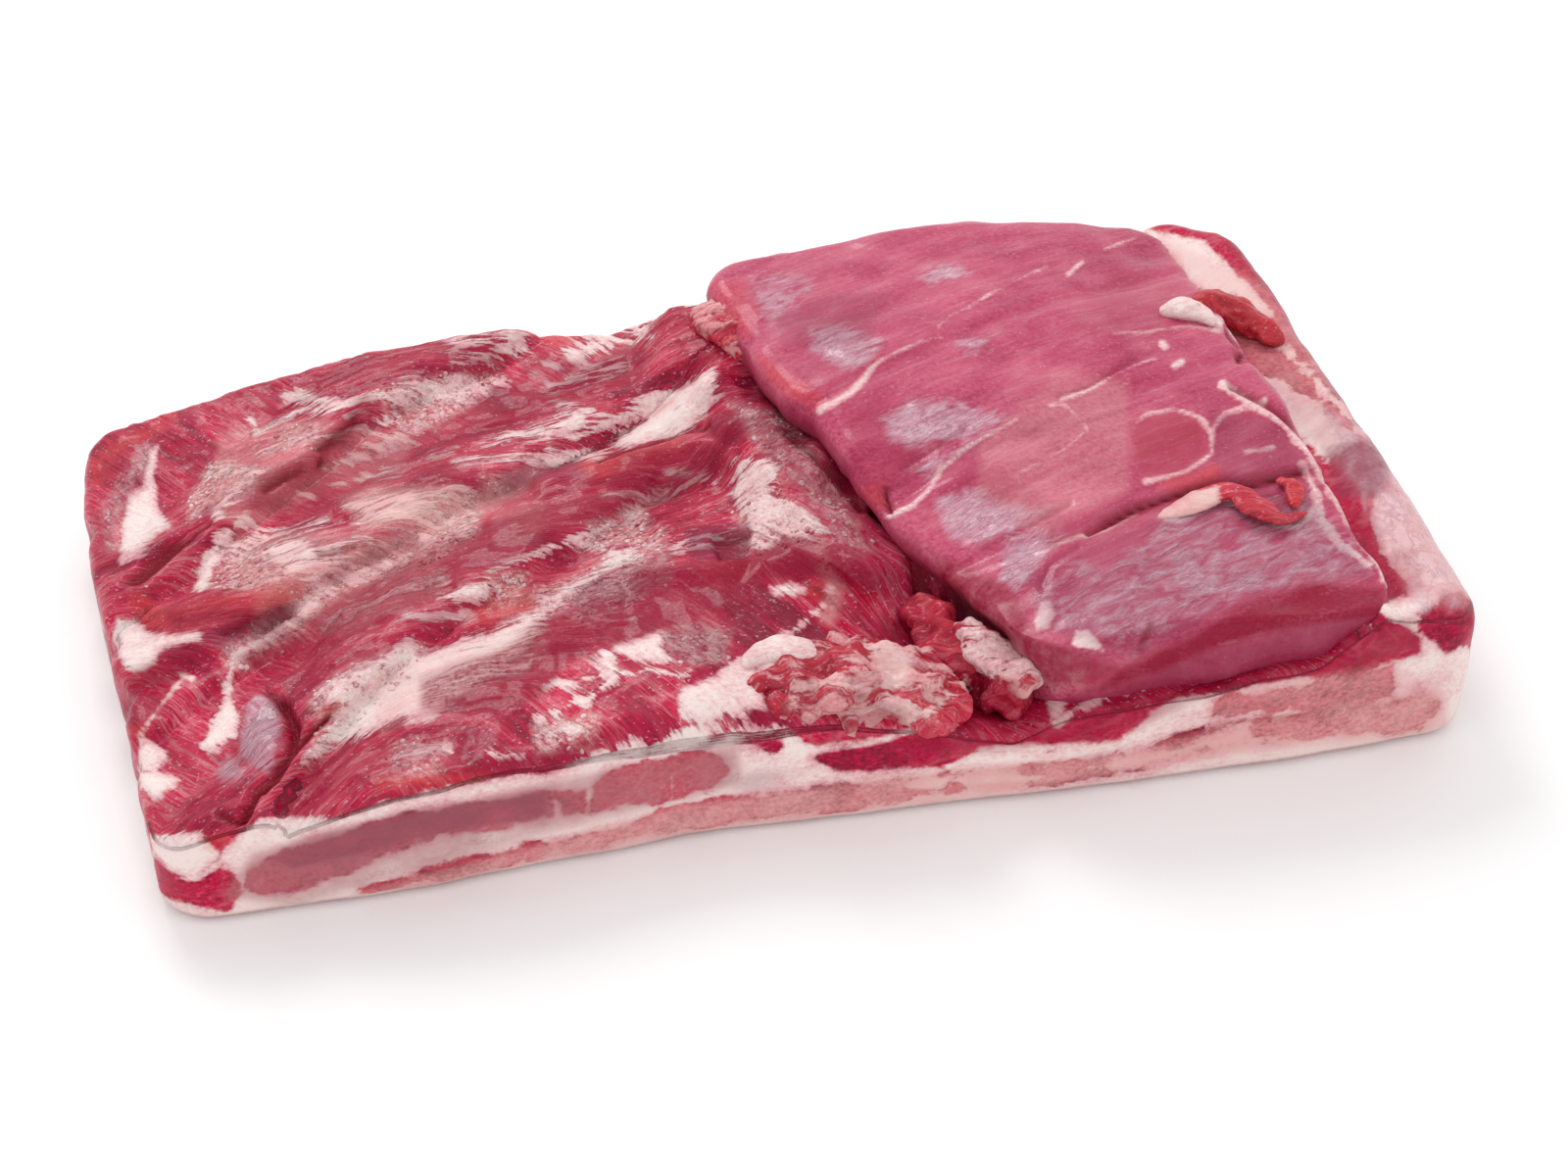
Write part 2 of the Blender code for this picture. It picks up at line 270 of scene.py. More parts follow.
@dataclass(frozen=True)
class Patch:
    """A closed outline of pixels."""

    mark: Mark
    points: tuple[Point, ...]
    fray: float = 0.8
    strength: float = 1.0
    sink: float = 0.0

    def outline(self) -> np.ndarray:
        """The patch's corners."""
        return np.array(self.points, float)

    def reach(self, pixels: np.ndarray) -> np.ndarray:
        """Distance in mm from the outline, positive inside it.

        Args:
            pixels: Places in the pixel frame, one row each.

        Returns:
            The distance for each place.
        """
        corners = self.outline()
        gap = np.full(len(pixels), 1e9)
        inside = np.zeros(len(pixels), bool)
        for first, second in zip(corners, np.roll(corners, -1, axis=0)):
            way = second - first
            share = np.clip(((pixels - first) @ way) / (way @ way), 0.0, 1.0)
            gap = np.minimum(gap, np.linalg.norm(pixels - first - share[:, None] * way, axis=1))
            crosses = (first[1] > pixels[:, 1]) != (second[1] > pixels[:, 1])
            rise = way[1] if abs(way[1]) > 1e-9 else 1e-9
            inside ^= crosses & (pixels[:, 0] < first[0] + (pixels[:, 1] - first[1]) / rise * way[0])
        return np.where(inside, gap, -gap) / PIXELS_PER_MM


@dataclass(frozen=True)
class Spot:
    """A turned ellipse of pixels."""

    mark: Mark
    middle: Point
    radii: Point
    turn: float = 0.0
    fray: float = 0.8
    strength: float = 1.0
    sink: float = 0.0

    def outline(self) -> np.ndarray:
        """Two corners of the box that holds the spot."""
        reach = max(self.radii)
        middle = np.array(self.middle, float)
        return np.array((middle - reach, middle + reach))

    def reach(self, pixels: np.ndarray) -> np.ndarray:
        """Distance in mm from the edge of the spot, positive inside it.

        Args:
            pixels: Places in the pixel frame, one row each.

        Returns:
            The distance for each place.
        """
        angle = math.radians(self.turn)
        past = pixels - np.array(self.middle)
        u = (past[:, 0] * math.cos(angle) - past[:, 1] * math.sin(angle)) / self.radii[0]
        v = (past[:, 0] * math.sin(angle) + past[:, 1] * math.cos(angle)) / self.radii[1]
        return (1.0 - np.hypot(u, v)) * min(self.radii) / PIXELS_PER_MM


AnyMark = Stroke | Patch | Spot


def fat(width: float, *points: Point, end: float | None = None, fray: float = 0.8) -> Stroke:
    """A streak of fat: its half width in mm and the pixels it runs through."""
    return Stroke(Mark.FAT, points, width, width if end is None else end, fray)


def lean(width: float, *points: Point, end: float | None = None, fray: float = 0.8) -> Stroke:
    """A streak of lean that cuts through fat."""
    return Stroke(Mark.LEAN, points, width, width if end is None else end, fray)


def fat_patch(*points: Point, fray: float = 0.8) -> Patch:
    """A field of fat inside an outline of pixels."""
    return Patch(Mark.FAT, points, fray)


def lean_patch(*points: Point, fray: float = 0.6) -> Patch:
    """A field of lean inside an outline of pixels."""
    return Patch(Mark.LEAN, points, fray)


def cleft(width: float, *points: Point, sink: float = 2.0, strength: float = 1.0) -> Stroke:
    """A cleft that sinks by some mm, darkened with painted shade."""
    return Stroke(Mark.CLEFT_SHADE, points, width, width, 0.3, strength, sink)


def shaded_pit(*points: Point, sink: float = 2.6, strength: float = 1.0) -> Patch:
    """A hollow inside an outline of pixels that sinks, darkened with painted shade."""
    return Patch(Mark.CLEFT_SHADE, points, 0.3, strength, sink)


def rise(width: float, height: float, *points: Point) -> Stroke:
    """A rounded swelling without a colour of its own; width and height in mm."""
    return Stroke(Mark.RELIEF, points, width, width, 0.8, 1.0, -height)


def tint(mark: Mark, width: float, *points: Point, strength: float = 1.0) -> Stroke:
    """A tinted streak."""
    return Stroke(mark, points, width, width, 0.8, strength)


def wash(mark: Mark, *points: Point, strength: float = 1.0) -> Patch:
    """A tinted field."""
    return Patch(mark, points, 0.8, strength)


def washes(strengths: Mapping[Mark, float], *points: Point) -> tuple[Patch, ...]:
    """Fields that share an outline, each with its own tint and strength."""
    return tuple(wash(mark, *points, strength=strength) for mark, strength in strengths.items())


def spot(mark: Mark, middle: Point, radii: Point, turn: float = 0.0, strength: float = 1.0) -> Spot:
    """A tinted ellipse of pixels; the turn is anticlockwise, in degrees."""
    return Spot(mark, middle, radii, turn, 0.8, strength)


RIB_END_MARKS: tuple[AnyMark, ...] = (
    # cut end of the rearmost lobe
    wash(
        Mark.WARM, (88, 482), (95, 468), (109, 455), (130, 443), (160, 430), (181, 412), (176, 426),
        (150, 444), (122, 462), (112, 484), (96, 492), strength=0.8,
    ),
    spot(Mark.DEEP, (114, 476), (11, 5), 18.0),
    wash(
        Mark.GRAIN, (152, 450), (152, 476), (128, 503), (120, 530), (120, 560), (109, 560), (105, 534),
        (104, 518), (128, 480), (142, 458), strength=0.7,
    ),
    wash(
        Mark.MAUVE, (152, 450), (152, 476), (120, 530), (112, 560), (105, 534), (104, 518), (142, 458),
        strength=0.6,
    ),
    wash(
        Mark.DEEP, (94, 515), (110, 536), (112, 559), (120, 575), (140, 584), (141, 592), (122, 594),
        (100, 580), (92, 551), strength=0.45,
    ),
    fat_patch(
        (151, 456), (161, 450), (161, 470), (158, 489), (161, 518), (176, 536), (160, 544), (150, 556),
        (142, 567), (121, 575), (121, 559), (124, 543), (125, 521), (130, 505), (144, 496), fray=0.25,
    ),
    wash(
        Mark.GRAIN, (211, 475), (239, 469), (260, 480), (260, 492), (233, 499), (220, 510), (201, 521),
        (192, 528), (195, 504), (206, 489),
    ),
    fat(1.4, (214, 484), (236, 476), (256, 486), fray=2.0),
    shaded_pit(
        (198, 539), (190, 543), (166, 552), (152, 566), (136, 582), (124, 592), (141, 592), (158, 579),
        (180, 560),
    ),
    cleft(0.7, (196, 541), (212, 531), sink=1.5, strength=0.8),
    # cut end of the middle lobe
    fat(1.0, (254, 527), (228, 548), (215, 570), (205, 597), end=2.2, fray=0.5),
    wash(
        Mark.GRAIN, (228, 556), (262, 552), (290, 590), (296, 602), (240, 606), (210, 600), strength=0.9,
    ),
    fat_patch(
        (266, 552), (306, 546), (330, 562), (326, 578), (303, 590), (287, 587), (273, 571), fray=1.1,
    ),
    fat(2.6, (246, 560), (290, 566), (330, 566), (372, 556), fray=1.7),
    wash(
        Mark.PALE, (240, 548), (330, 540), (440, 546), (420, 580), (330, 600), (250, 606), strength=0.45,
    ),
    tint(
        Mark.WARM, 2.4, (140, 612), (156, 632), (178, 636), (211, 628), (250, 618), (300, 604),
        strength=0.75,
    ),
    tint(Mark.DEEP, 1.4, (180, 636), (214, 630), (252, 627)),
    rise(3.4, 2.0, (150, 622), (180, 628), (215, 616), (252, 606), (300, 592)),
    fat_patch(
        (116, 630), (138, 630), (152, 643), (177, 645), (200, 643), (211, 652), (193, 657), (171, 661),
        (161, 670), (159, 677), (145, 686), (136, 688), (125, 682), (114, 654), fray=0.3,
    ),
    wash(
        Mark.MAUVE, (205, 645), (237, 637), (261, 628), (302, 612), (306, 630), (271, 652), (252, 654),
        (229, 658), (211, 654),
    ),
    shaded_pit(
        (222, 644), (240, 638), (262, 628), (292, 618), (296, 626), (268, 642), (238, 650), sink=2.0,
        strength=0.55,
    ),
    wash(
        Mark.DEEP, (170, 661), (211, 663), (189, 684), (177, 698), (168, 712), (148, 730), (138, 741),
        (125, 743), (127, 693), (159, 675), strength=0.65,
    ),
    tint(Mark.WARM, 1.6, (124, 740), (138, 746), (146, 740), strength=0.6),
    # cut end of the front lobe
    fat(0.6, (193, 688), (179, 700), (168, 714), (154, 730), (143, 748), fray=0.3),
    fat(1.2, (187, 689), (195, 692), fray=0.2),
    fat_patch(
        (141, 752), (159, 757), (171, 768), (173, 776), (162, 781), (159, 788), (139, 786), fray=0.25,
    ),
    fat_patch(
        (139, 786), (162, 786), (180, 793), (177, 802), (166, 814), (155, 816), (143, 805), fray=0.3,
    ),
    fat_patch(
        (230, 703), (238, 714), (246, 732), (243, 752), (232, 759), (214, 766), (200, 764), (211, 745),
        (223, 721), fray=0.8,
    ),
    fat(0.5, (239, 672), (232, 704), end=1.2, fray=0.4),
    wash(
        Mark.FILM_AND_SHEEN, (250, 718), (261, 710), (279, 714), (289, 736), (289, 752), (277, 779), (270, 786),
        (254, 782), (243, 771), (243, 761), (246, 743),
    ),
    rise(4.6, 1.8, (264, 730), (268, 756)),
    wash(
        Mark.FILM_AND_SHEEN, (218, 773), (232, 766), (243, 771), (252, 793), (254, 798), (225, 798), (216, 788),
        strength=0.8,
    ),
    shaded_pit(
        (270, 704), (293, 716), (305, 739), (298, 770), (284, 793), (262, 808), (256, 823), (248, 842),
        (241, 836), (250, 815), (254, 803), (272, 788), (289, 765), (294, 742), (286, 722), sink=3.0,
    ),
    cleft(0.8, (223, 829), (243, 840), sink=1.4),
    wash(
        Mark.DEEP, (150, 815), (210, 812), (240, 835), (235, 850), (205, 846), (160, 845), strength=0.35,
    ),
    fat_patch(
        (150, 850), (204, 846), (208, 856), (226, 876), (210, 888), (200, 898), (172, 890), (152, 872),
        fray=0.4,
    ),
    spot(Mark.WARM, (222, 858), (16, 9), strength=0.6),
)

RIB_SIDE_MARKS: tuple[AnyMark, ...] = (
    # crimson where each lobe is thick, pale where it thins out
    wash(
        Mark.DEEP, (230, 401), (342, 376), (468, 358), (555, 332), (518, 351), (392, 389), (286, 420),
        (230, 426), strength=0.3,
    ),
    wash(
        Mark.DEEP, (261, 508), (342, 464), (430, 439), (480, 414), (555, 376), (642, 358), (630, 389),
        (555, 420), (480, 451), (430, 476), (374, 501), (330, 526), (292, 545), strength=0.6,
    ),
    wash(
        Mark.DEEP, (242, 670), (318, 626), (380, 589), (455, 551), (518, 526), (618, 495), (642, 470),
        (742, 451), (742, 470), (705, 501), (642, 526), (580, 539), (530, 570), (455, 595), (418, 620),
        (330, 670), (268, 689), strength=0.85,
    ),
    wash(
        Mark.DEEP, (430, 695), (518, 658), (555, 632), (618, 608), (705, 589), (768, 570), (768, 608),
        (705, 632), (642, 651), (580, 670), (555, 708), (505, 726), (430, 726), strength=0.9,
    ),
    wash(
        Mark.PALE, (224, 440), (300, 428), (420, 440), (410, 480), (330, 500), (250, 540), (216, 520),
        strength=0.4,
    ),
    fat(0.4, (262, 462), (300, 448), (340, 440), (392, 430), end=1.0, fray=1.3),
    fat(0.3, (300, 508), (344, 494), (400, 478), end=1.0, fray=1.4),
    wash(Mark.PALE, (349, 508), (380, 495), (468, 495), (480, 514), (430, 539), (374, 539), strength=0.8),
    fat_patch((352, 516), (390, 500), (462, 496), (472, 508), (430, 532), (385, 534), fray=1.4),
    wash(
        Mark.PALE, (286, 582), (342, 564), (405, 545), (468, 514), (542, 476), (555, 489), (480, 532),
        (418, 564), (355, 589), (292, 608), strength=0.7,
    ),
    fat(1.0, (300, 596), (355, 577), (418, 552), (480, 522), end=2.0, fray=1.5),
    fat(0.6, (262, 440), (300, 420), (350, 414), (385, 402), end=1.8, fray=1.4),
    fat(0.8, (300, 540), (318, 556), (308, 584), fray=1.6),
    fat(1.4, (236, 560), (262, 548), (300, 542), (330, 530), fray=1.6),
    fat(0.8, (560, 395), (590, 384), (632, 372), end=1.8, fray=1.4),
    fat(1.6, (222, 520), (240, 500), (262, 482), fray=1.6),
    fat(1.2, (455, 668), (500, 650), (548, 628), fray=1.2),
    fat_patch(
        (380, 696), (430, 674), (500, 650), (552, 632), (556, 650), (520, 678), (480, 706), (430, 732),
        (386, 742), fray=1.0,
    ),
    wash(Mark.PALE, (380, 690), (500, 650), (556, 630), (556, 670), (480, 712), (390, 746), strength=0.4),
    wash(Mark.PALE, (260, 600), (440, 560), (450, 600), (360, 640), (262, 660), strength=0.4),
    fat(0.6, (330, 640), (350, 622), (400, 604), (452, 588), end=1.4, fray=1.4),
    fat(0.5, (392, 718), (440, 700), (500, 690), (540, 672), end=1.4, fray=1.4),
    fat(0.8, (690, 560), (720, 548), (760, 540), fray=1.6),
    fat(1.0, (560, 700), (600, 690), (660, 684), (700, 690), fray=1.4),
    fat(0.6, (560, 452), (600, 440), (640, 424), (668, 408), end=1.6, fray=1.4),
    fat(0.6, (500, 580), (540, 566), (600, 545), (652, 520), end=1.4, fray=1.6),
    # the rearmost lobe and the ragged fat along the back
    fat_patch(
        (285, 401), (307, 396), (334, 404), (353, 408), (345, 417), (315, 413), (296, 412), fray=1.2,
    ),
    fat(1.2, (255, 426), (262, 440), fray=0.8),
    wash(Mark.GRAIN, (284, 433), (322, 434), (320, 452), (290, 456), strength=0.9),
    tint(Mark.DEEP, 3.4, (262, 506), (300, 484), (336, 462), (362, 436), (372, 416), strength=0.7),
    tint(Mark.WARM, 2.0, (286, 494), (312, 482), (330, 468), strength=0.5),
    shaded_pit((361, 420), (372, 430), (352, 452), (336, 462), (320, 456), (342, 437), sink=1.8, strength=0.7),
    cleft(0.5, (336, 458), (326, 476), sink=1.0),
    cleft(1.2, (272, 498), (290, 486), (308, 480), sink=1.6, strength=0.6),
    fat_patch(
        (385, 402), (412, 391), (450, 385), (500, 382), (518, 390), (480, 404), (440, 413), (398, 416),
        fray=1.5,
    ),
    wash(Mark.GRAIN, (388, 396), (450, 384), (512, 382), (480, 410), (445, 436), (404, 438)),
    fat(1.5, (464, 350), (534, 342), fray=2.0),
    fat(1.2, (467, 362), (534, 358), fray=1.8),
    fat(1.0, (542, 376), (590, 362), (627, 344), (654, 338), end=2.4, fray=2.0),
    fat(2.4, (569, 325), (601, 330), (611, 339), fray=1.4),
    tint(Mark.DEEP, 4.0, (547, 376), (600, 386), (644, 368), strength=0.6),
    spot(Mark.WARM, (577, 340), (22, 10), 20.0, strength=0.7),
    tint(Mark.DEEP, 3.0, (360, 372), (440, 362), (500, 366), strength=0.5),
    fat(0.3, (391, 330), (450, 336), end=1.2, fray=1.2),
    # the middle lobe
    fat(0.3, (326, 478), (360, 466), (410, 448), end=2.4, fray=1.6),
    fat(0.3, (349, 513), (410, 511), (468, 502), end=2.6, fray=1.8),
    fat(0.3, (360, 536), (412, 530), (452, 520), end=1.8, fray=1.6),
    cleft(0.4, (324, 564), (361, 558), sink=0.6),
    fat(0.8, (571, 411), (630, 427), fray=0.6),
    fat(0.3, (491, 448), (540, 442), (590, 430), end=2.6, fray=1.5),
    fat(0.5, (440, 462), (466, 458), fray=0.8),
    fat(0.5, (460, 470), (528, 463), fray=0.6),
    fat_patch(
        (534, 468), (554, 463), (583, 461), (624, 457), (615, 473), (607, 477), (591, 473), (567, 481),
        (546, 475), fray=0.7,
    ),
    fat_patch(
        (646, 409), (671, 394), (695, 397), (711, 382), (732, 372), (737, 397), (722, 423), (693, 443),
        (671, 450), (640, 456), (624, 454), (636, 437), (656, 431), fray=0.9,
    ),
    rise(3.4, 1.6, (660, 436), (700, 414), (722, 398)),
    tint(Mark.WARM, 0.7, (650, 431), (689, 413), strength=0.7),
    cleft(0.6, (612, 476), (640, 462), (664, 456), (687, 446), (708, 438), (726, 436), sink=1.2),
    tint(Mark.WARM, 2.6, (605, 482), (640, 474), (690, 458), strength=0.8),
    rise(3.6, 2.4, (556, 492), (609, 480), (650, 470), (700, 456), (735, 456)),
    wash(Mark.DEEP, (655, 464), (734, 458), (740, 478), (662, 486), strength=0.75),
    spot(Mark.DEEP, (741, 437), (19, 18)),
    rise(4.8, 3.0, (741, 440)),
    wash(Mark.MAUVE, (516, 478), (595, 474), (600, 492), (520, 498), strength=0.9),
    wash(Mark.DEEP, (538, 490), (613, 488), (610, 542), (545, 548), strength=0.45),
    tint(Mark.DEEP, 4.0, (330, 640), (400, 610), (470, 580), strength=0.4),
    tint(Mark.DEEP, 4.0, (400, 486), (460, 486), (520, 500), strength=0.45),
    # the bed of the furrow behind the front lobes
    fat(1.7, (411, 571), (367, 580), (333, 597), (307, 627), (274, 651), (242, 668), fray=1.5),
    tint(
        Mark.GRAIN, 3.6, (462, 545), (411, 569), (367, 578), (333, 595), (307, 625), (274, 649),
        (242, 668),
    ),
    tint(Mark.DEEP, 1.6, (420, 552), (393, 562), (359, 579), (334, 590), strength=0.7),
    wash(Mark.GRAIN, (440, 500), (489, 500), (485, 548), (445, 552)),
    fat(1.4, (447, 506), (480, 512), (470, 540), fray=2.2),
    wash(Mark.GRAIN, (493, 486), (526, 484), (528, 505), (495, 506)),
    fat(0.3, (615, 505), (683, 499), end=0.8, fray=0.6),
    fat(0.5, (628, 518), (660, 510), (705, 493), (722, 486), (685, 481), end=1.5, fray=1.0),
    wash(Mark.GRAIN, (599, 530), (660, 525), (655, 560), (605, 562), strength=0.8),
    fat(0.4, (554, 556), (583, 554), (630, 562), end=1.2, fray=1.0),
    wash(Mark.PALE, (501, 512), (554, 509), (550, 552), (505, 554), strength=0.3),
    wash(Mark.MAUVE, (700, 540), (762, 535), (760, 572), (706, 570)),
    shaded_pit((728, 546), (764, 540), (764, 566), (736, 572), sink=2.2, strength=0.5),
    wash(Mark.GRAIN, (617, 568), (685, 564), (683, 593), (620, 597), strength=0.7),
    tint(Mark.DEEP, 2.2, (655, 592), (725, 582), (770, 572), strength=0.9),
    rise(2.6, 1.8, (655, 592), (725, 582), (765, 572)),
    tint(Mark.WARM, 2.0, (724, 587), (760, 584), strength=0.6),
    # the lobe behind the front furrow
    fat_patch((445, 608), (467, 595), (500, 592), (503, 603), (489, 612), (454, 613), fray=1.0),
    fat(0.3, (372, 623), (440, 627), (480, 632), end=1.4, fray=0.8),
    wash(Mark.GRAIN, (500, 588), (537, 584), (535, 620), (502, 621)),
    tint(Mark.WARM, 2.2, (485, 633), (515, 625), (541, 614), strength=0.8),
    rise(3.0, 2.0, (470, 640), (515, 620), (548, 604)),
    tint(Mark.DEEP, 3.4, (300, 690), (360, 660), (420, 640), (470, 626), strength=0.5),
    # the bed of the front furrow
    fat(2.0, (647, 563), (615, 584), (583, 602), (555, 616), fray=1.2),
    tint(Mark.GRAIN, 3.6, (665, 552), (615, 584), (583, 602), (555, 616), strength=0.8),
    fat_patch(
        (322, 712), (341, 688), (372, 677), (400, 664), (415, 649), (424, 655), (428, 668), (459, 655),
        (500, 645), (530, 627), (558, 618), (560, 634), (532, 660), (506, 680), (495, 699), (472, 714),
        (437, 733), (411, 733), (376, 749), (350, 755), (328, 768), (313, 777), (307, 783), (333, 744),
        (348, 733), (341, 720), fray=0.8,
    ),
    wash(
        Mark.GRAIN, (316, 716), (341, 686), (400, 662), (430, 660), (420, 690), (380, 716), (350, 752),
        (310, 780), (326, 744), strength=0.9,
    ),
    tint(Mark.WARM, 0.8, (348, 729), (380, 703), strength=0.5),
    spot(Mark.WARM, (333, 726), (9, 5), 30.0, strength=0.8),
    cleft(1.0, (336, 729), (307, 755), (294, 770), (268, 802), sink=1.8),
    *washes(
        {Mark.MAUVE: 0.7, Mark.GRAIN: 0.6}, (585, 602), (640, 573), (686, 562), (682, 592), (620, 628),
        (590, 634),
    ),
    # the front lobe
    wash(
        Mark.DEEP, (564, 655), (640, 604), (732, 588), (726, 650), (690, 646), (640, 636), (600, 662),
        strength=0.4,
    ),
    fat_patch(
        (603, 666), (638, 655), (661, 648), (674, 643), (681, 650), (677, 659), (691, 678), (661, 675),
        (638, 671), (619, 674), fray=0.9,
    ),
    fat(1.8, (619, 675), (629, 689), (601, 710), (560, 728), (541, 737), end=1.0, fray=1.3),
    wash(Mark.GRAIN, (546, 735), (610, 728), (605, 760), (550, 767)),
    fat(1.4, (552, 748), (600, 742), fray=2.0),
    fat(0.7, (647, 630)),
    fat(0.7, (692, 635)),
    *washes(
        {Mark.MAUVE: 0.6, Mark.GRAIN: 0.7}, (679, 642), (712, 632), (745, 645), (740, 672), (705, 678),
        (682, 668),
    ),
    fat_patch((491, 758), (508, 763), (534, 768), (539, 778), (511, 776), (498, 769), fray=0.7),
    wash(Mark.GRAIN, (398, 755), (454, 751), (450, 790), (400, 794), strength=0.7),
    fat(0.3, (400, 772), (452, 762), end=1.2, fray=1.4),
    tint(Mark.DEEP, 1.5, (448, 784), (505, 781), (560, 774), (615, 753), strength=0.8),
    tint(Mark.WARM, 1.8, (389, 798), (440, 797), (491, 791), strength=0.8),
    tint(Mark.DEEP, 4.0, (300, 812), (380, 780), (440, 752), strength=0.4),
    # fat in the middle of the slab
    fat_patch(
        (752, 470), (775, 462), (792, 474), (801, 503), (818, 517), (846, 542), (850, 560), (820, 562),
        (792, 560), (770, 572), (752, 560), (760, 530), (744, 505), fray=1.5,
    ),
    wash(Mark.GRAIN, (748, 500), (800, 500), (840, 545), (800, 566), (756, 566), strength=0.5),
    fat_patch((785, 600), (803, 594), (823, 601), (815, 610), (790, 609), fray=0.6),
    fat(0.8, (847, 602)),
    spot(Mark.WARM, (831, 603), (11, 10), strength=0.6),
    fat_patch(
        (691, 701), (720, 692), (753, 669), (775, 658), (773, 682), (780, 694), (780, 722), (735, 733),
        (693, 730), fray=0.25,
    ),
    fat_patch(
        (771, 684), (778, 671), (798, 664), (817, 670), (837, 686), (842, 699), (828, 706), (805, 703),
        (792, 694), (778, 692), fray=0.2,
    ),
    rise(4.0, 2.6, (790, 680), (822, 692)),
    cleft(0.5, (774, 694), (792, 698), (806, 706), (830, 709), sink=1.0, strength=0.7),
    wash(Mark.WARM, (785, 706), (805, 708), (834, 712), (832, 726), (787, 724), strength=0.7),
    wash(Mark.MAUVE, (812, 646), (858, 648), (864, 688), (845, 690), (820, 672), strength=0.8),
    fat(0.8, (840, 618), (815, 640), (787, 655), fray=0.8),
    wash(
        Mark.DEEP, (757, 576), (798, 549), (821, 549), (868, 556), (900, 588), (890, 604), (831, 588),
        (775, 596),
    ),
    rise(4.0, 3.0, (778, 582), (815, 566), (860, 576), (888, 592)),
    spot(Mark.DEEP, (893, 512), (12, 12), strength=0.8),
    # shaded lean under the free edge of the flap
    wash(
        Mark.MAUVE, (735, 400), (790, 378), (850, 430), (905, 520), (950, 600), (930, 640), (885, 600),
        (850, 560), (815, 500), (770, 450), strength=0.55,
    ),
    wash(
        Mark.DEEP, (760, 400), (790, 384), (850, 434), (905, 520), (940, 590), (900, 590), (840, 530),
        (790, 460), strength=0.3,
    ),
    wash(
        Mark.GRAIN, (742, 410), (800, 420), (850, 480), (895, 560), (870, 570), (820, 500), (770, 450),
        strength=0.7,
    ),
    fat(0.3, (780, 420), (812, 446), (836, 480), (846, 510), end=0.8, fray=1.8),
    shaded_pit((778, 366), (792, 388), (815, 405), (842, 416), (852, 434), (812, 424), (782, 400), sink=1.5),
    cleft(2.0, (897, 518), (924, 536), (938, 580), (950, 640), strength=0.9, sink=2.0),
    cleft(1.2, (805, 440), (850, 480), (880, 515), strength=0.6, sink=1.2),
    tint(Mark.PALE, 1.8, (838, 560), (852, 600), (846, 628), strength=0.6),
)

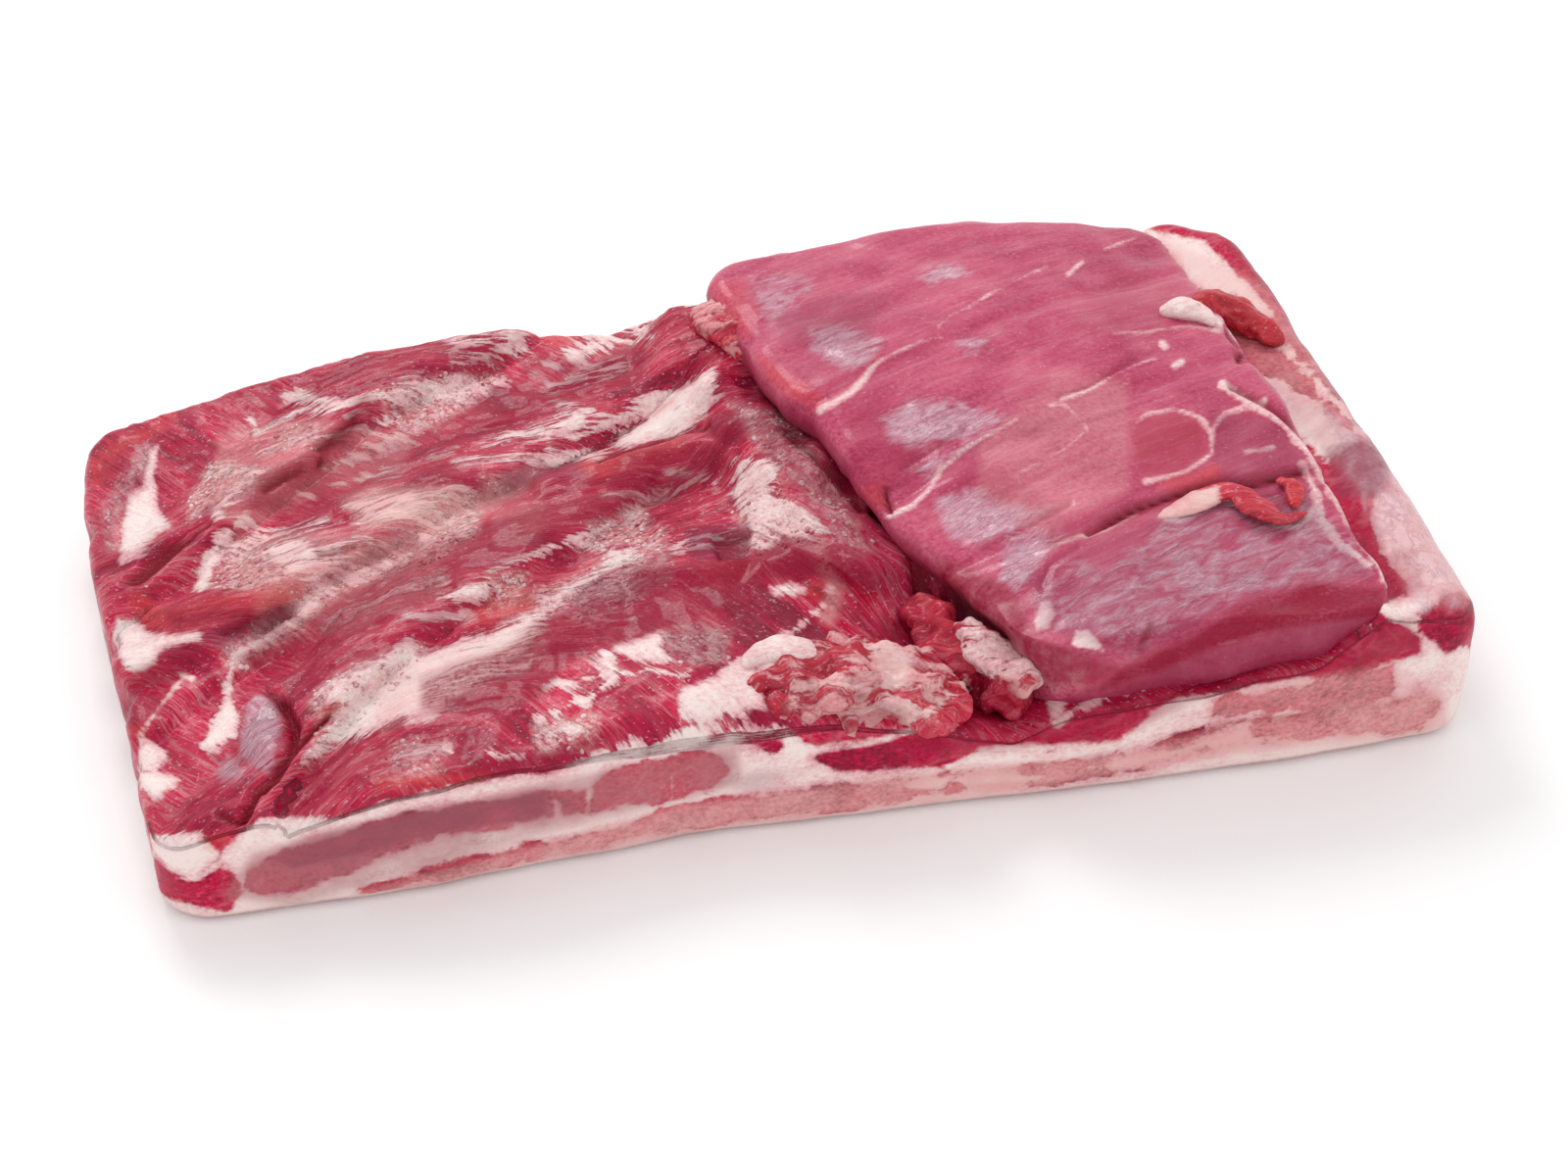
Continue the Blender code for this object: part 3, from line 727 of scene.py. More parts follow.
FRONT_WALL_MARKS: tuple[AnyMark, ...] = (
    # all of the wall is fat; the lean bands are cut back into it
    fat_patch(
        (221, 878), (262, 834), (296, 832), (349, 835), (385, 821), (427, 810), (485, 797), (560, 791),
        (610, 766), (640, 756), (693, 738), (745, 734), (800, 744), (835, 762), (900, 752), (960, 728),
        (1003, 740), (1064, 740), (1124, 700), (1300, 640), (1420, 610), (1520, 600), (1530, 800),
        (1240, 840), (900, 860), (560, 930), (300, 960), (180, 940), (150, 905), (210, 890), fray=0.4,
    ),
    lean_patch(
        (252, 891), (275, 875), (307, 863), (338, 851), (383, 841), (432, 829), (490, 818), (567, 807),
        (602, 806), (615, 790), (639, 783), (666, 776), (690, 774), (711, 768), (738, 772), (744, 787),
        (738, 797), (728, 809), (687, 816), (642, 823), (602, 831), (567, 836), (540, 843), (477, 849),
        (432, 860), (391, 876), (359, 889), (317, 902), (289, 914), (265, 915), (249, 906),
    ),
    lean_patch(
        (367, 909), (401, 901), (438, 885), (490, 875), (540, 864), (583, 858), (647, 840), (690, 824),
        (738, 813), (792, 810), (843, 804), (904, 799), (1000, 786), (1100, 780), (1160, 766),
        (1220, 749), (1245, 740), (1268, 732), (1312, 731), (1344, 729), (1398, 718), (1430, 714),
        (1452, 705), (1469, 720), (1450, 743), (1421, 751), (1398, 745), (1377, 750), (1350, 750),
        (1312, 758), (1264, 761), (1221, 772), (1160, 790), (1080, 800), (960, 810), (900, 820),
        (830, 832), (760, 838), (700, 845), (647, 856), (583, 872), (560, 876), (490, 890), (438, 902),
        (380, 912), fray=0.8,
    ),
    lean_patch(
        (827, 774), (859, 763), (902, 752), (934, 750), (960, 736), (985, 726), (1040, 742), (1066, 738),
        (1080, 745), (1100, 728), (1180, 690), (1290, 662), (1385, 622), (1430, 640), (1450, 652),
        (1450, 668), (1423, 674), (1379, 689), (1325, 696), (1277, 704), (1239, 707), (1204, 709),
        (1187, 720), (1162, 742), (1143, 754), (1105, 763), (1072, 770), (1038, 767), (1017, 768),
        (1003, 765), (971, 779), (940, 787), (915, 788), (886, 790), (859, 787), fray=0.3,
    ),
    lean_patch(
        (155, 911), (166, 893), (200, 902), (226, 884), (242, 893), (248, 911), (236, 924), (205, 927),
    ),
    lean_patch((642, 746), (660, 738), (684, 737), (686, 746), (660, 755), (645, 754), fray=1.4),
    lean_patch((612, 758), (628, 753), (640, 758), (622, 765), fray=1.2),
    lean_patch((725, 742), (745, 731), (753, 736), (740, 748), (728, 753), fray=1.0),
    lean_patch((750, 750), (775, 746), (800, 758), (790, 769), (765, 764), fray=1.4),
    lean_patch(
        (1446, 622), (1461, 604), (1486, 602), (1500, 608), (1512, 622), (1514, 655), (1474, 663),
        (1463, 655), (1451, 648), fray=0.6,
    ),
    # one band is redder than the other, and the low ones are pale
    *washes(
        {Mark.MAUVE: 0.6, Mark.PALE: 0.5}, (230, 915), (260, 870), (560, 800), (750, 760), (760, 800),
        (560, 850), (300, 925),
    ),
    wash(
        Mark.PALE, (360, 915), (560, 862), (690, 824), (960, 790), (1160, 768), (1312, 730), (1470, 700),
        (1480, 745), (1264, 770), (960, 820), (700, 850), (400, 920), strength=0.85,
    ),
    wash(
        Mark.DEEP, (900, 770), (960, 738), (1160, 700), (1300, 662), (1440, 630), (1450, 668),
        (1240, 708), (1140, 752), (1000, 768), strength=0.55,
    ),
    wash(
        Mark.PALE, (1266, 708), (1325, 699), (1379, 690), (1423, 678), (1423, 712), (1396, 718),
        (1312, 731), strength=0.6,
    ),
    lean_patch(
        (1236, 714), (1300, 703), (1379, 692), (1423, 680), (1423, 714), (1396, 718), (1312, 730),
        (1236, 736), fray=0.9,
    ),
    wash(
        Mark.PALE, (1236, 712), (1423, 678), (1460, 700), (1450, 740), (1300, 758), (1236, 764),
        strength=0.5,
    ),
    fat(0.4, (1300, 732), (1360, 724), (1426, 713), fray=0.5),
    cleft(0.2, (1238, 741), (1300, 735), (1360, 728), (1428, 718), sink=0.4, strength=0.5),
    spot(Mark.MAUVE, (772, 798), (26, 9), 10.0, strength=0.5),
    wash(Mark.MAUVE, (270, 880), (300, 860), (400, 834), (560, 806), (560, 836), (440, 858), (300, 890)),
    fat(1.4, (930, 802), (1060, 794), (1160, 778), (1264, 752), fray=1.6),
    fat(0.8, (835, 768), (888, 760), (934, 747), (965, 729), fray=0.3),
    fat(0.9, (1150, 757), (1100, 764), (1000, 766), fray=0.3),
    fat(0.8, (1379, 690), (1325, 697), (1280, 703), fray=0.3),
    fat(0.6, (569, 822), (571, 835), fray=0.3),
    fat(0.6, (603, 806), (600, 832), fray=0.3),
    fat(0.5, (686, 794), (686, 815), fray=0.3),
    fat_patch(
        (1066, 712), (1124, 694), (1131, 698), (1108, 711), (1091, 720), (1079, 737), (1071, 732),
        fray=0.3,
    ),
    fat(1.4, (1106, 712), (1125, 708), (1143, 706), fray=1.4),
    fat(1.2, (1165, 686), (1166, 704), fray=1.2),
    fat(1.8, (1224, 666), (1256, 657), (1287, 650), fray=1.4),
    fat(1.6, (1386, 634), (1397, 638), fray=1.2),
    fat(1.0, (1342, 657), (1353, 656), fray=0.8),
    fat(2.6, (1424, 628), (1440, 618), (1458, 604), fray=0.6),
    fat_patch(
        (1423, 676), (1455, 668), (1458, 655), (1476, 664), (1510, 662), (1504, 690), (1490, 712),
        (1450, 700), fray=0.5,
    ),
    # grooves between the muscles, darkened with painted shade
    cleft(
        0.2, (1097, 733), (1131, 726), (1162, 718), (1189, 712), (1220, 697), (1249, 691), (1274, 678),
        (1304, 670), (1327, 659), (1354, 651), (1385, 629), sink=0.5, strength=0.6,
    ),
    cleft(1.3, (1030, 672), (1048, 676), (1060, 700), sink=1.0, strength=0.5),
    wash(
        Mark.CLEFT_SHADE, (985, 712), (994, 704), (1006, 703), (1018, 712), (1033, 732), (1024, 736),
        (1005, 732), (990, 730),
    ),
)

FLANK_END_MARKS: tuple[AnyMark, ...] = (
    fat_patch(
        (1150, 229), (1187, 236), (1226, 243), (1250, 265), (1278, 293), (1300, 321), (1282, 320),
        (1260, 303), (1229, 299), (1212, 286), (1200, 262), (1180, 246), fray=0.4,
    ),
    fat_patch(
        (1262, 360), (1288, 378), (1309, 385), (1327, 402), (1361, 424), (1388, 447), (1383, 458),
        (1349, 470), (1327, 449), (1300, 424), (1274, 402), (1268, 380), fray=1.2,
    ),
    wash(
        Mark.MAUVE, (1280, 380), (1340, 410), (1390, 450), (1370, 470), (1310, 430), (1276, 404),
        strength=0.4,
    ),
    fat(1.4, (1300, 345), (1345, 390), (1400, 450), fray=1.0),
    wash(Mark.FILM_AND_SHEEN, (1390, 480), (1430, 470), (1470, 540), (1490, 600), (1455, 600), (1415, 560)),
    fat_patch(
        (1400, 500), (1440, 500), (1480, 560), (1500, 604), (1460, 600), (1436, 590), (1412, 560),
        fray=1.0,
    ),
    wash(
        Mark.PALE, (1180, 236), (1290, 290), (1400, 440), (1480, 560), (1500, 620), (1440, 610),
        (1400, 520), (1340, 440), (1260, 350), (1200, 280), strength=0.45,
    ),
    wash(
        Mark.FILM_AND_SHEEN, (1340, 400), (1400, 446), (1470, 540), (1500, 620), (1450, 630), (1410, 560),
        (1370, 480), strength=0.6,
    ),
    *washes(
        {Mark.PALE: 0.8, Mark.FILM_AND_SHEEN: 0.8}, (1396, 430), (1450, 448), (1500, 540), (1530, 620), (1480, 606),
        (1420, 500),
    ),
    wash(Mark.MAUVE, (1350, 456), (1400, 446), (1424, 476), (1404, 506), (1365, 506)),
    wash(
        Mark.DEEP, (1372, 505), (1400, 520), (1412, 556), (1415, 610), (1392, 600), (1385, 550),
        strength=0.5,
    ),
    wash(Mark.DEEP, (1400, 565), (1440, 560), (1455, 600), (1425, 614), (1400, 605), strength=0.4),
)

FLAP_MARKS: tuple[AnyMark, ...] = (
    # tones of the two muscles under their film
    wash(
        Mark.MAUVE, (1100, 556), (1240, 506), (1330, 498), (1400, 590), (1300, 600), (1160, 672),
        (1060, 640), (1050, 590), strength=0.55,
    ),
    wash(Mark.MAUVE, (1236, 420), (1300, 430), (1340, 478), (1245, 488), (1238, 470), strength=0.6),
    wash(Mark.MAUVE, (790, 320), (850, 300), (905, 300), (880, 350), (800, 352), strength=0.5),
    wash(Mark.DEEP, (1090, 330), (1140, 270), (1200, 290), (1215, 330), (1150, 350), strength=0.25),
    wash(
        Mark.PALE, (1000, 450), (1080, 380), (1150, 390), (1150, 500), (1060, 545), (1000, 500),
        strength=0.3,
    ),
    wash(
        Mark.FILM_AND_SHEEN, (1050, 600), (1160, 560), (1180, 510), (1340, 496), (1400, 590), (1300, 596),
        (1160, 660), (1070, 640), strength=0.55,
    ),
    wash(
        Mark.DEEP, (860, 430), (900, 400), (905, 440), (950, 465), (910, 500), (872, 496), strength=0.35,
    ),
    wash(
        Mark.DEEP, (930, 500), (950, 484), (1000, 470), (1060, 500), (1100, 540), (1040, 530), (960, 492),
        strength=0.2,
    ),
    wash(Mark.WARM, (728, 290), (760, 284), (770, 320), (760, 345), (722, 330), strength=0.5),
    wash(Mark.WARM, (771, 360), (790, 372), (836, 400), (832, 416), (804, 402), (784, 390), strength=0.8),
    wash(Mark.WARM, (878, 500), (900, 492), (905, 512), (890, 522), strength=0.8),
    # film that crackles, with painted sheen and highlights where it gleams
    wash(
        Mark.FILM_AND_SHEEN, (758, 277), (797, 272), (842, 284), (840, 302), (809, 317), (791, 343), (779, 338),
        (763, 302), strength=0.5,
    ),
    wash(
        Mark.DEEP, (750, 300), (800, 280), (900, 300), (890, 400), (830, 400), (770, 350), strength=0.12,
    ),
    wash(Mark.FILM_AND_SHEEN, (825, 333), (863, 328), (904, 346), (889, 372), (863, 380), (827, 358), strength=0.8),
    wash(Mark.FILM_AND_SHEEN, (937, 283), (960, 265), (991, 276), (975, 284), (950, 292)),
    wash(Mark.FILM_AND_SHEEN, (974, 346), (1018, 338), (1012, 354), (982, 364), strength=0.7),
    wash(
        Mark.FILM_AND_SHEEN, (899, 427), (929, 408), (975, 408), (1038, 424), (1001, 442), (965, 447), (932, 458),
        (906, 446),
    ),
    wash(Mark.FILM_AND_SHEEN, (925, 478), (990, 441), (1036, 427), (1000, 450), (952, 492), strength=0.7),
    wash(
        Mark.FILM_AND_SHEEN, (959, 503), (994, 495), (1035, 510), (1075, 515), (1059, 528), (1018, 546), (994, 556),
        (963, 545), (956, 520),
    ),
    wash(
        Mark.FILM_AND_SHEEN, (1028, 545), (1066, 537), (1092, 545), (1076, 562), (1052, 586), (1038, 604),
        (1018, 593), (1021, 565),
    ),
    wash(Mark.FILM_AND_SHEEN, (1087, 575), (1105, 568), (1122, 580), (1108, 594), (1092, 590), strength=0.8),
    tint(Mark.FILM_AND_SHEEN, 1.3, (1142, 600), (1138, 580), (1150, 566), (1166, 560), strength=0.9),
    tint(Mark.FILM_AND_SHEEN, 1.0, (1146, 584), (1160, 604), (1168, 622), strength=0.9),
    wash(
        Mark.FILM_AND_SHEEN, (1184, 554), (1211, 554), (1228, 572), (1250, 600), (1238, 611), (1211, 604),
        (1196, 593), (1189, 569),
    ),
    wash(
        Mark.FILM_AND_SHEEN, (1248, 602), (1262, 574), (1290, 582), (1340, 584), (1334, 593), (1262, 608),
        strength=0.9,
    ),
    wash(Mark.FILM_AND_SHEEN, (1090, 668), (1140, 660), (1190, 640), (1160, 672), strength=0.5),
    # the round window where the film is off, with a pale rim and a curled edge
    *washes(
        {Mark.DEEP: 0.5, Mark.WARM: 0.35}, (1155, 440), (1166, 425), (1200, 421), (1224, 431),
        (1231, 460), (1211, 476), (1180, 486), (1162, 476),
    ),
    fat(
        0.1, (1153, 446), (1158, 430), (1172, 420), (1200, 416), (1226, 425), (1238, 444), end=0.5,
        fray=1.0,
    ),
    fat(1.0, (1169, 491), (1211, 480), (1237, 462), (1237, 440), end=0.7, fray=0.6),
    wash(Mark.WARM, (1183, 495), (1215, 484), (1243, 474), (1246, 488), (1206, 502)),
    # white seams
    fat(
        1.2, (836, 418), (852, 410), (868, 400), (883, 384), (897, 367), (918, 357), (940, 348),
        (962, 344), end=0.3, fray=0.4,
    ),
    fat(1.0, (905, 527), (932, 514), (950, 496), (960, 478), (995, 450), (1039, 426), end=0.4, fray=0.4),
    fat(
        0.35, (1072, 412), (1087, 410), (1110, 437), (1098, 447), (1075, 463), (1052, 474), (1038, 482),
        (1042, 494), fray=0.5,
    ),
    fat(0.3, (957, 333), (970, 320), (1001, 305), (1013, 297), (1069, 269), fray=0.7),
    fat(0.7, (1090, 279), (1105, 266), fray=0.3),
    fat(0.3, (1128, 253), (1159, 242), fray=0.6),
    fat(0.35, (1136, 340), (1173, 337), (1212, 332), (1243, 335), fray=0.6),
    fat(0.5, (1086, 404), (1114, 396), (1136, 382), (1178, 365), fray=1.2),
    fat(0.9, (1186, 349), (1189, 353), fray=0.5),
    fat(0.8, (1199, 373), (1206, 369), fray=0.5),
    fat(0.5, (1060, 564), (1080, 554), (1114, 541), (1136, 534), (1161, 522), fray=0.8),
    fat(0.35, (1290, 407), (1250, 420), (1235, 440), fray=0.6),
    fat(0.35, (1300, 455), (1270, 461), fray=0.6),
    fat(1.6, (1203, 308), (1228, 322), (1246, 328), fray=1.2),
    # ribbon beside the curl, and painted shade in the pocket behind it
    fat_patch(
        (1188, 520), (1215, 509), (1242, 502), (1246, 513), (1220, 527), (1204, 535), (1186, 530),
        fray=0.5,
    ),
    fat(0.8, (1300, 534), (1324, 536), (1345, 516), fray=0.8),
    *washes({Mark.MAUVE: 1.0, Mark.DEEP: 0.4}, (1270, 496), (1308, 500), (1318, 526), (1293, 522)),
    # frayed fascia along the edge by the flank
    fat(
        1.1, (1248, 391), (1272, 405), (1299, 424), (1333, 455), (1347, 481), (1362, 503), (1385, 540),
        (1414, 590), fray=1.0,
    ),
    fat(0.8, (1328, 472), (1342, 500), (1348, 530), (1366, 552), (1398, 578), end=1.2, fray=1.4),
    wash(Mark.FILM_AND_SHEEN, (1340, 520), (1366, 530), (1404, 584), (1380, 590), (1350, 560), strength=0.6),
    # the grooves between the muscles, darkened with painted shade
    cleft(
        0.5, (1110, 541), (1130, 531), (1161, 518), (1190, 508), (1245, 491), (1276, 494), (1328, 481),
        sink=1.8,
    ),
    tint(Mark.DEEP, 1.6, (1070, 552), (1130, 532), (1190, 509), (1245, 493), (1328, 483), strength=0.7),
    cleft(0.4, (1080, 402), (1114, 392), (1136, 378), (1158, 366), sink=0.7, strength=0.5),
    cleft(0.4, (919, 477), (950, 458), (985, 435), sink=0.8, strength=0.5),
    cleft(0.4, (1000, 560), (1030, 545), (1062, 528), (1092, 512), sink=0.7, strength=0.4),
    cleft(0.4, (1062, 596), (1070, 575), (1100, 556), sink=0.7, strength=0.4),
    cleft(0.8, (1257, 337), (1276, 357), (1265, 363), sink=1.6),
    cleft(0.6, (1256, 392), (1300, 414), (1337, 446), (1352, 476), (1368, 502), sink=1.4, strength=0.8),
    cleft(0.7, (905, 500), (905, 520), sink=1.8),
    # the cut front face and the torn edge at its left
    wash(
        Mark.DEEP, (1140, 686), (1155, 678), (1220, 650), (1268, 616), (1300, 604), (1342, 593),
        (1411, 600), (1411, 628), (1354, 636), (1297, 646), (1258, 654), (1220, 670), (1120, 708),
        strength=1.3,
    ),
    wash(
        Mark.WARM, (1090, 700), (1166, 674), (1224, 650), (1262, 628), (1262, 640), (1160, 694),
        (1100, 708), strength=0.5,
    ),
    wash(
        Mark.DEEP, (949, 562), (973, 573), (1018, 594), (1040, 616), (1052, 646), (1070, 655),
        (1110, 672), (1152, 684), (1105, 700), (1066, 700), (1040, 664), (1000, 640), (960, 600),
        strength=0.9,
    ),
    wash(
        Mark.GRAIN, (949, 566), (1018, 598), (1040, 622), (1052, 650), (1110, 676), (1105, 704),
        (1066, 704), (1030, 664), (990, 634), strength=0.5,
    ),
    wash(
        Mark.MAUVE, (1080, 716), (1161, 680), (1240, 662), (1330, 640), (1411, 620), (1411, 650),
        (1300, 690), (1200, 718), (1100, 738), strength=0.75,
    ),
    wash(
        Mark.DEEP, (1080, 716), (1161, 684), (1240, 668), (1330, 646), (1411, 626), (1411, 650),
        (1300, 690), (1200, 718), (1100, 738), strength=0.4,
    ),
    fat(0.5, (1146, 682), (1190, 668), (1240, 658), (1290, 646), end=0.2, fray=0.8),
    fat_patch((1054, 634), (1062, 613), (1072, 610), (1077, 625), (1070, 640), (1057, 644), fray=0.3),
    fat_patch(
        (1093, 656), (1099, 643), (1110, 640), (1122, 652), (1129, 667), (1115, 665), (1097, 662),
        fray=0.5,
    ),
    tint(Mark.CLEFT_SHADE, 0.9, (1163, 664), (1172, 642), (1174, 636), strength=0.6),
)

TRIMMING_MARKS: tuple[AnyMark, ...] = (
    fat_patch(
        (868, 590), (895, 592), (905, 640), (935, 668), (925, 700), (905, 712), (890, 680), (872, 640),
        fray=1.0,
    ),
    fat(1.2, (800, 742), (835, 758), (880, 752), (930, 735), fray=1.4),
    fat(1.2, (800, 706), (850, 692), (886, 706), fray=1.4),
    fat(1.4, (850, 734), (900, 722), (950, 724), (984, 700), fray=1.4),
    wash(
        Mark.GRAIN, (800, 700), (880, 690), (960, 700), (960, 740), (860, 752), (800, 740), strength=0.2,
    ),
    tint(Mark.DEEP, 4.0, (835, 748), (870, 744), (912, 734), strength=0.4),
    fat_patch(
        (1180, 520), (1215, 500), (1242, 494), (1246, 514), (1222, 532), (1204, 542), (1180, 536),
        fray=0.5,
    ),
    spot(Mark.WARM, (962, 625), (20, 26), strength=0.6),
    wash(Mark.WARM, (1020, 690), (1060, 690), (1062, 712), (1040, 730), (1018, 716), strength=0.7),
    spot(Mark.DEEP, (1026, 712), (20, 18), strength=0.6),
)


# -------------------------------------------------------------------- fields

# How far past its outline a mark is felt (pixels); fat values (mm) far outside and well inside fat.
MARK_REACH = 34.0
FAR_OUT = -8.0
SOLID = 2.3
FRAY = 0.8


class Fields:
    """Values on the vertices of one piece, painted by marks."""

    TINTS = (Mark.DEEP, Mark.CLEFT_SHADE, Mark.WARM, Mark.PALE, Mark.FILM_AND_SHEEN, Mark.MAUVE, Mark.GRAIN)
    SOFT_EDGE = (-2.0, 1.6)
    EDGES = {Mark.CLEFT_SHADE: (-0.7, 0.6), Mark.FILM_AND_SHEEN: (-2.6, 3.6)}
    SINK_EDGE = (-1.2, 0.8)
    FRAY_LENGTH = 2.0
    LEAST_FACING = 0.02

    def __init__(self, points: np.ndarray, normals: np.ndarray, fibres: np.ndarray) -> None:
        """Start with plain lean.

        Args:
            points: Places of the vertices.
            normals: Their outward directions.
            fibres: Places in a space whose first axis runs along the fibres.
        """
        self.fibres = fibres
        count = len(points)
        self.pixels = VIEW.pixels(points)
        self.facing = VIEW.facing(points, normals)
        self.fat = np.full(count, FAR_OUT)
        self.fray = np.full(count, FRAY)
        self.sink = np.zeros(count)
        self.rise = np.zeros(count)
        self.cut = np.zeros(count)
        self.tints = {mark: np.zeros(count) for mark in self.TINTS}

    def paint(self, marks: Sequence[AnyMark]) -> None:
        """Lay marks on the vertices that look at the camera, in their order.

        Args:
            marks: Marks, in the order in which they are laid.
        """
        for mark in marks:
            outline = mark.outline()
            low, high = outline.min(axis=0) - MARK_REACH, outline.max(axis=0) + MARK_REACH
            inside = ((self.pixels > low) & (self.pixels < high)).all(axis=1)
            near = np.flatnonzero(inside & (self.facing > 0.0))
            if len(near):
                self.lay(mark, near, mark.reach(self.pixels[near]))

    def lay(self, mark: AnyMark, near: np.ndarray, reach: np.ndarray) -> None:
        """Lay one mark.

        Args:
            mark: The mark.
            near: Vertices that it may touch.
            reach: Distance inside the mark in mm, for each of them.
        """
        facing = self.facing[near]
        if mark.mark is Mark.RELIEF:
            dome = smooth(-0.7 * mark.start, mark.start, reach) * facing
            self.rise[near] = np.maximum(self.rise[near], -mark.sink * dome)
            return
        self.sink[near] = np.maximum(self.sink[near], mark.sink * smooth(*self.SINK_EDGE, reach) * facing)
        if mark.mark in (Mark.FAT, Mark.LEAN):
            closeness = np.exp(-np.abs(reach) / self.FRAY_LENGTH)
            self.fray[near] += (mark.fray - self.fray[near]) * closeness
            value = np.clip(reach, FAR_OUT, SOLID / mark.fray**1.5)
            fat_so_far = self.fat[near]
            is_fat = mark.mark is Mark.FAT
            merged = np.maximum(fat_so_far, value) if is_fat else np.minimum(fat_so_far, -value)
            self.fat[near] += (merged - fat_so_far) * (facing > self.LEAST_FACING)
            return
        soft = smooth(*self.EDGES.get(mark.mark, self.SOFT_EDGE), reach)
        tints = self.tints[mark.mark]
        tints[near] = np.maximum(tints[near], mark.strength * soft * facing)

    def blend_fat(self, hidden: np.ndarray) -> None:
        """Use another pattern of fat where the surface looks away."""
        self.fat = hidden + (self.fat - hidden) * self.facing

    def attributes(self) -> dict[str, np.ndarray]:
        """Values by the name that the finishes read."""
        named = {"fat": self.fat, "fray": self.fray, "cut": self.cut}
        named.update({mark.value: values for mark, values in self.tints.items()})
        return named


# Sides of a block's surface.
ON_TOP, ON_SIDES, UNDERNEATH = 0, 1, 2


@dataclass
class Surface:
    """A closed mesh as arrays; side says where on the block each vertex lies."""

    points: np.ndarray
    faces: list[tuple[int, ...]]
    side: np.ndarray

    def mesh(self, name: str) -> bpy.types.Mesh:
        """Make the Blender mesh.

        Args:
            name: Its name.

        Returns:
            The mesh, with no material yet.
        """
        data = bpy.data.meshes.new(name)
        data.from_pydata(self.points.tolist(), [], self.faces)
        data.update()
        return data


def mesh_arrays(data: bpy.types.Mesh) -> tuple[np.ndarray, np.ndarray]:
    """Places and outward directions of a mesh's vertices.

    Args:
        data: The mesh.

    Returns:
        The places and the directions, one row for each vertex.
    """
    points = np.empty(len(data.vertices) * 3, np.float32)
    normals = np.empty(len(data.vertices) * 3, np.float32)
    data.vertices.foreach_get("co", points)
    data.vertex_normals.foreach_get("vector", normals)
    return points.reshape(-1, 3).astype(float), normals.reshape(-1, 3).astype(float)


def move_vertices(data: bpy.types.Mesh, points: np.ndarray) -> None:
    """Put a mesh's vertices in new places."""
    data.vertices.foreach_set("co", points.astype(np.float32).ravel())
    data.update()


def store_fields(data: bpy.types.Mesh, fields: Fields) -> None:
    """Keep the painted values on the mesh.

    Args:
        data: The mesh.
        fields: Values painted on its vertices.
    """
    for name, values in fields.attributes().items():
        attribute = data.attributes.new(name, "FLOAT", "POINT")
        attribute.data.foreach_set("value", values.astype(np.float32))
    attribute = data.attributes.new("fibres", "FLOAT_VECTOR", "POINT")
    attribute.data.foreach_set("vector", fields.fibres.astype(np.float32).ravel())


# -------------------------------------------------------------------- blocks

def unevenness(x: np.ndarray, y: np.ndarray, z: np.ndarray | float) -> np.ndarray:
    """Slow swells and small lumps of soft meat, as on the solid."""
    swell = swells(x, y, z, 34 * MM, (3.1, 8.7, 1.9))
    lump = swells(x, y, z, 11 * MM, (7.3, 2.2, 5.8))
    return 1.1 * MM * swell + 0.7 * MM * lump


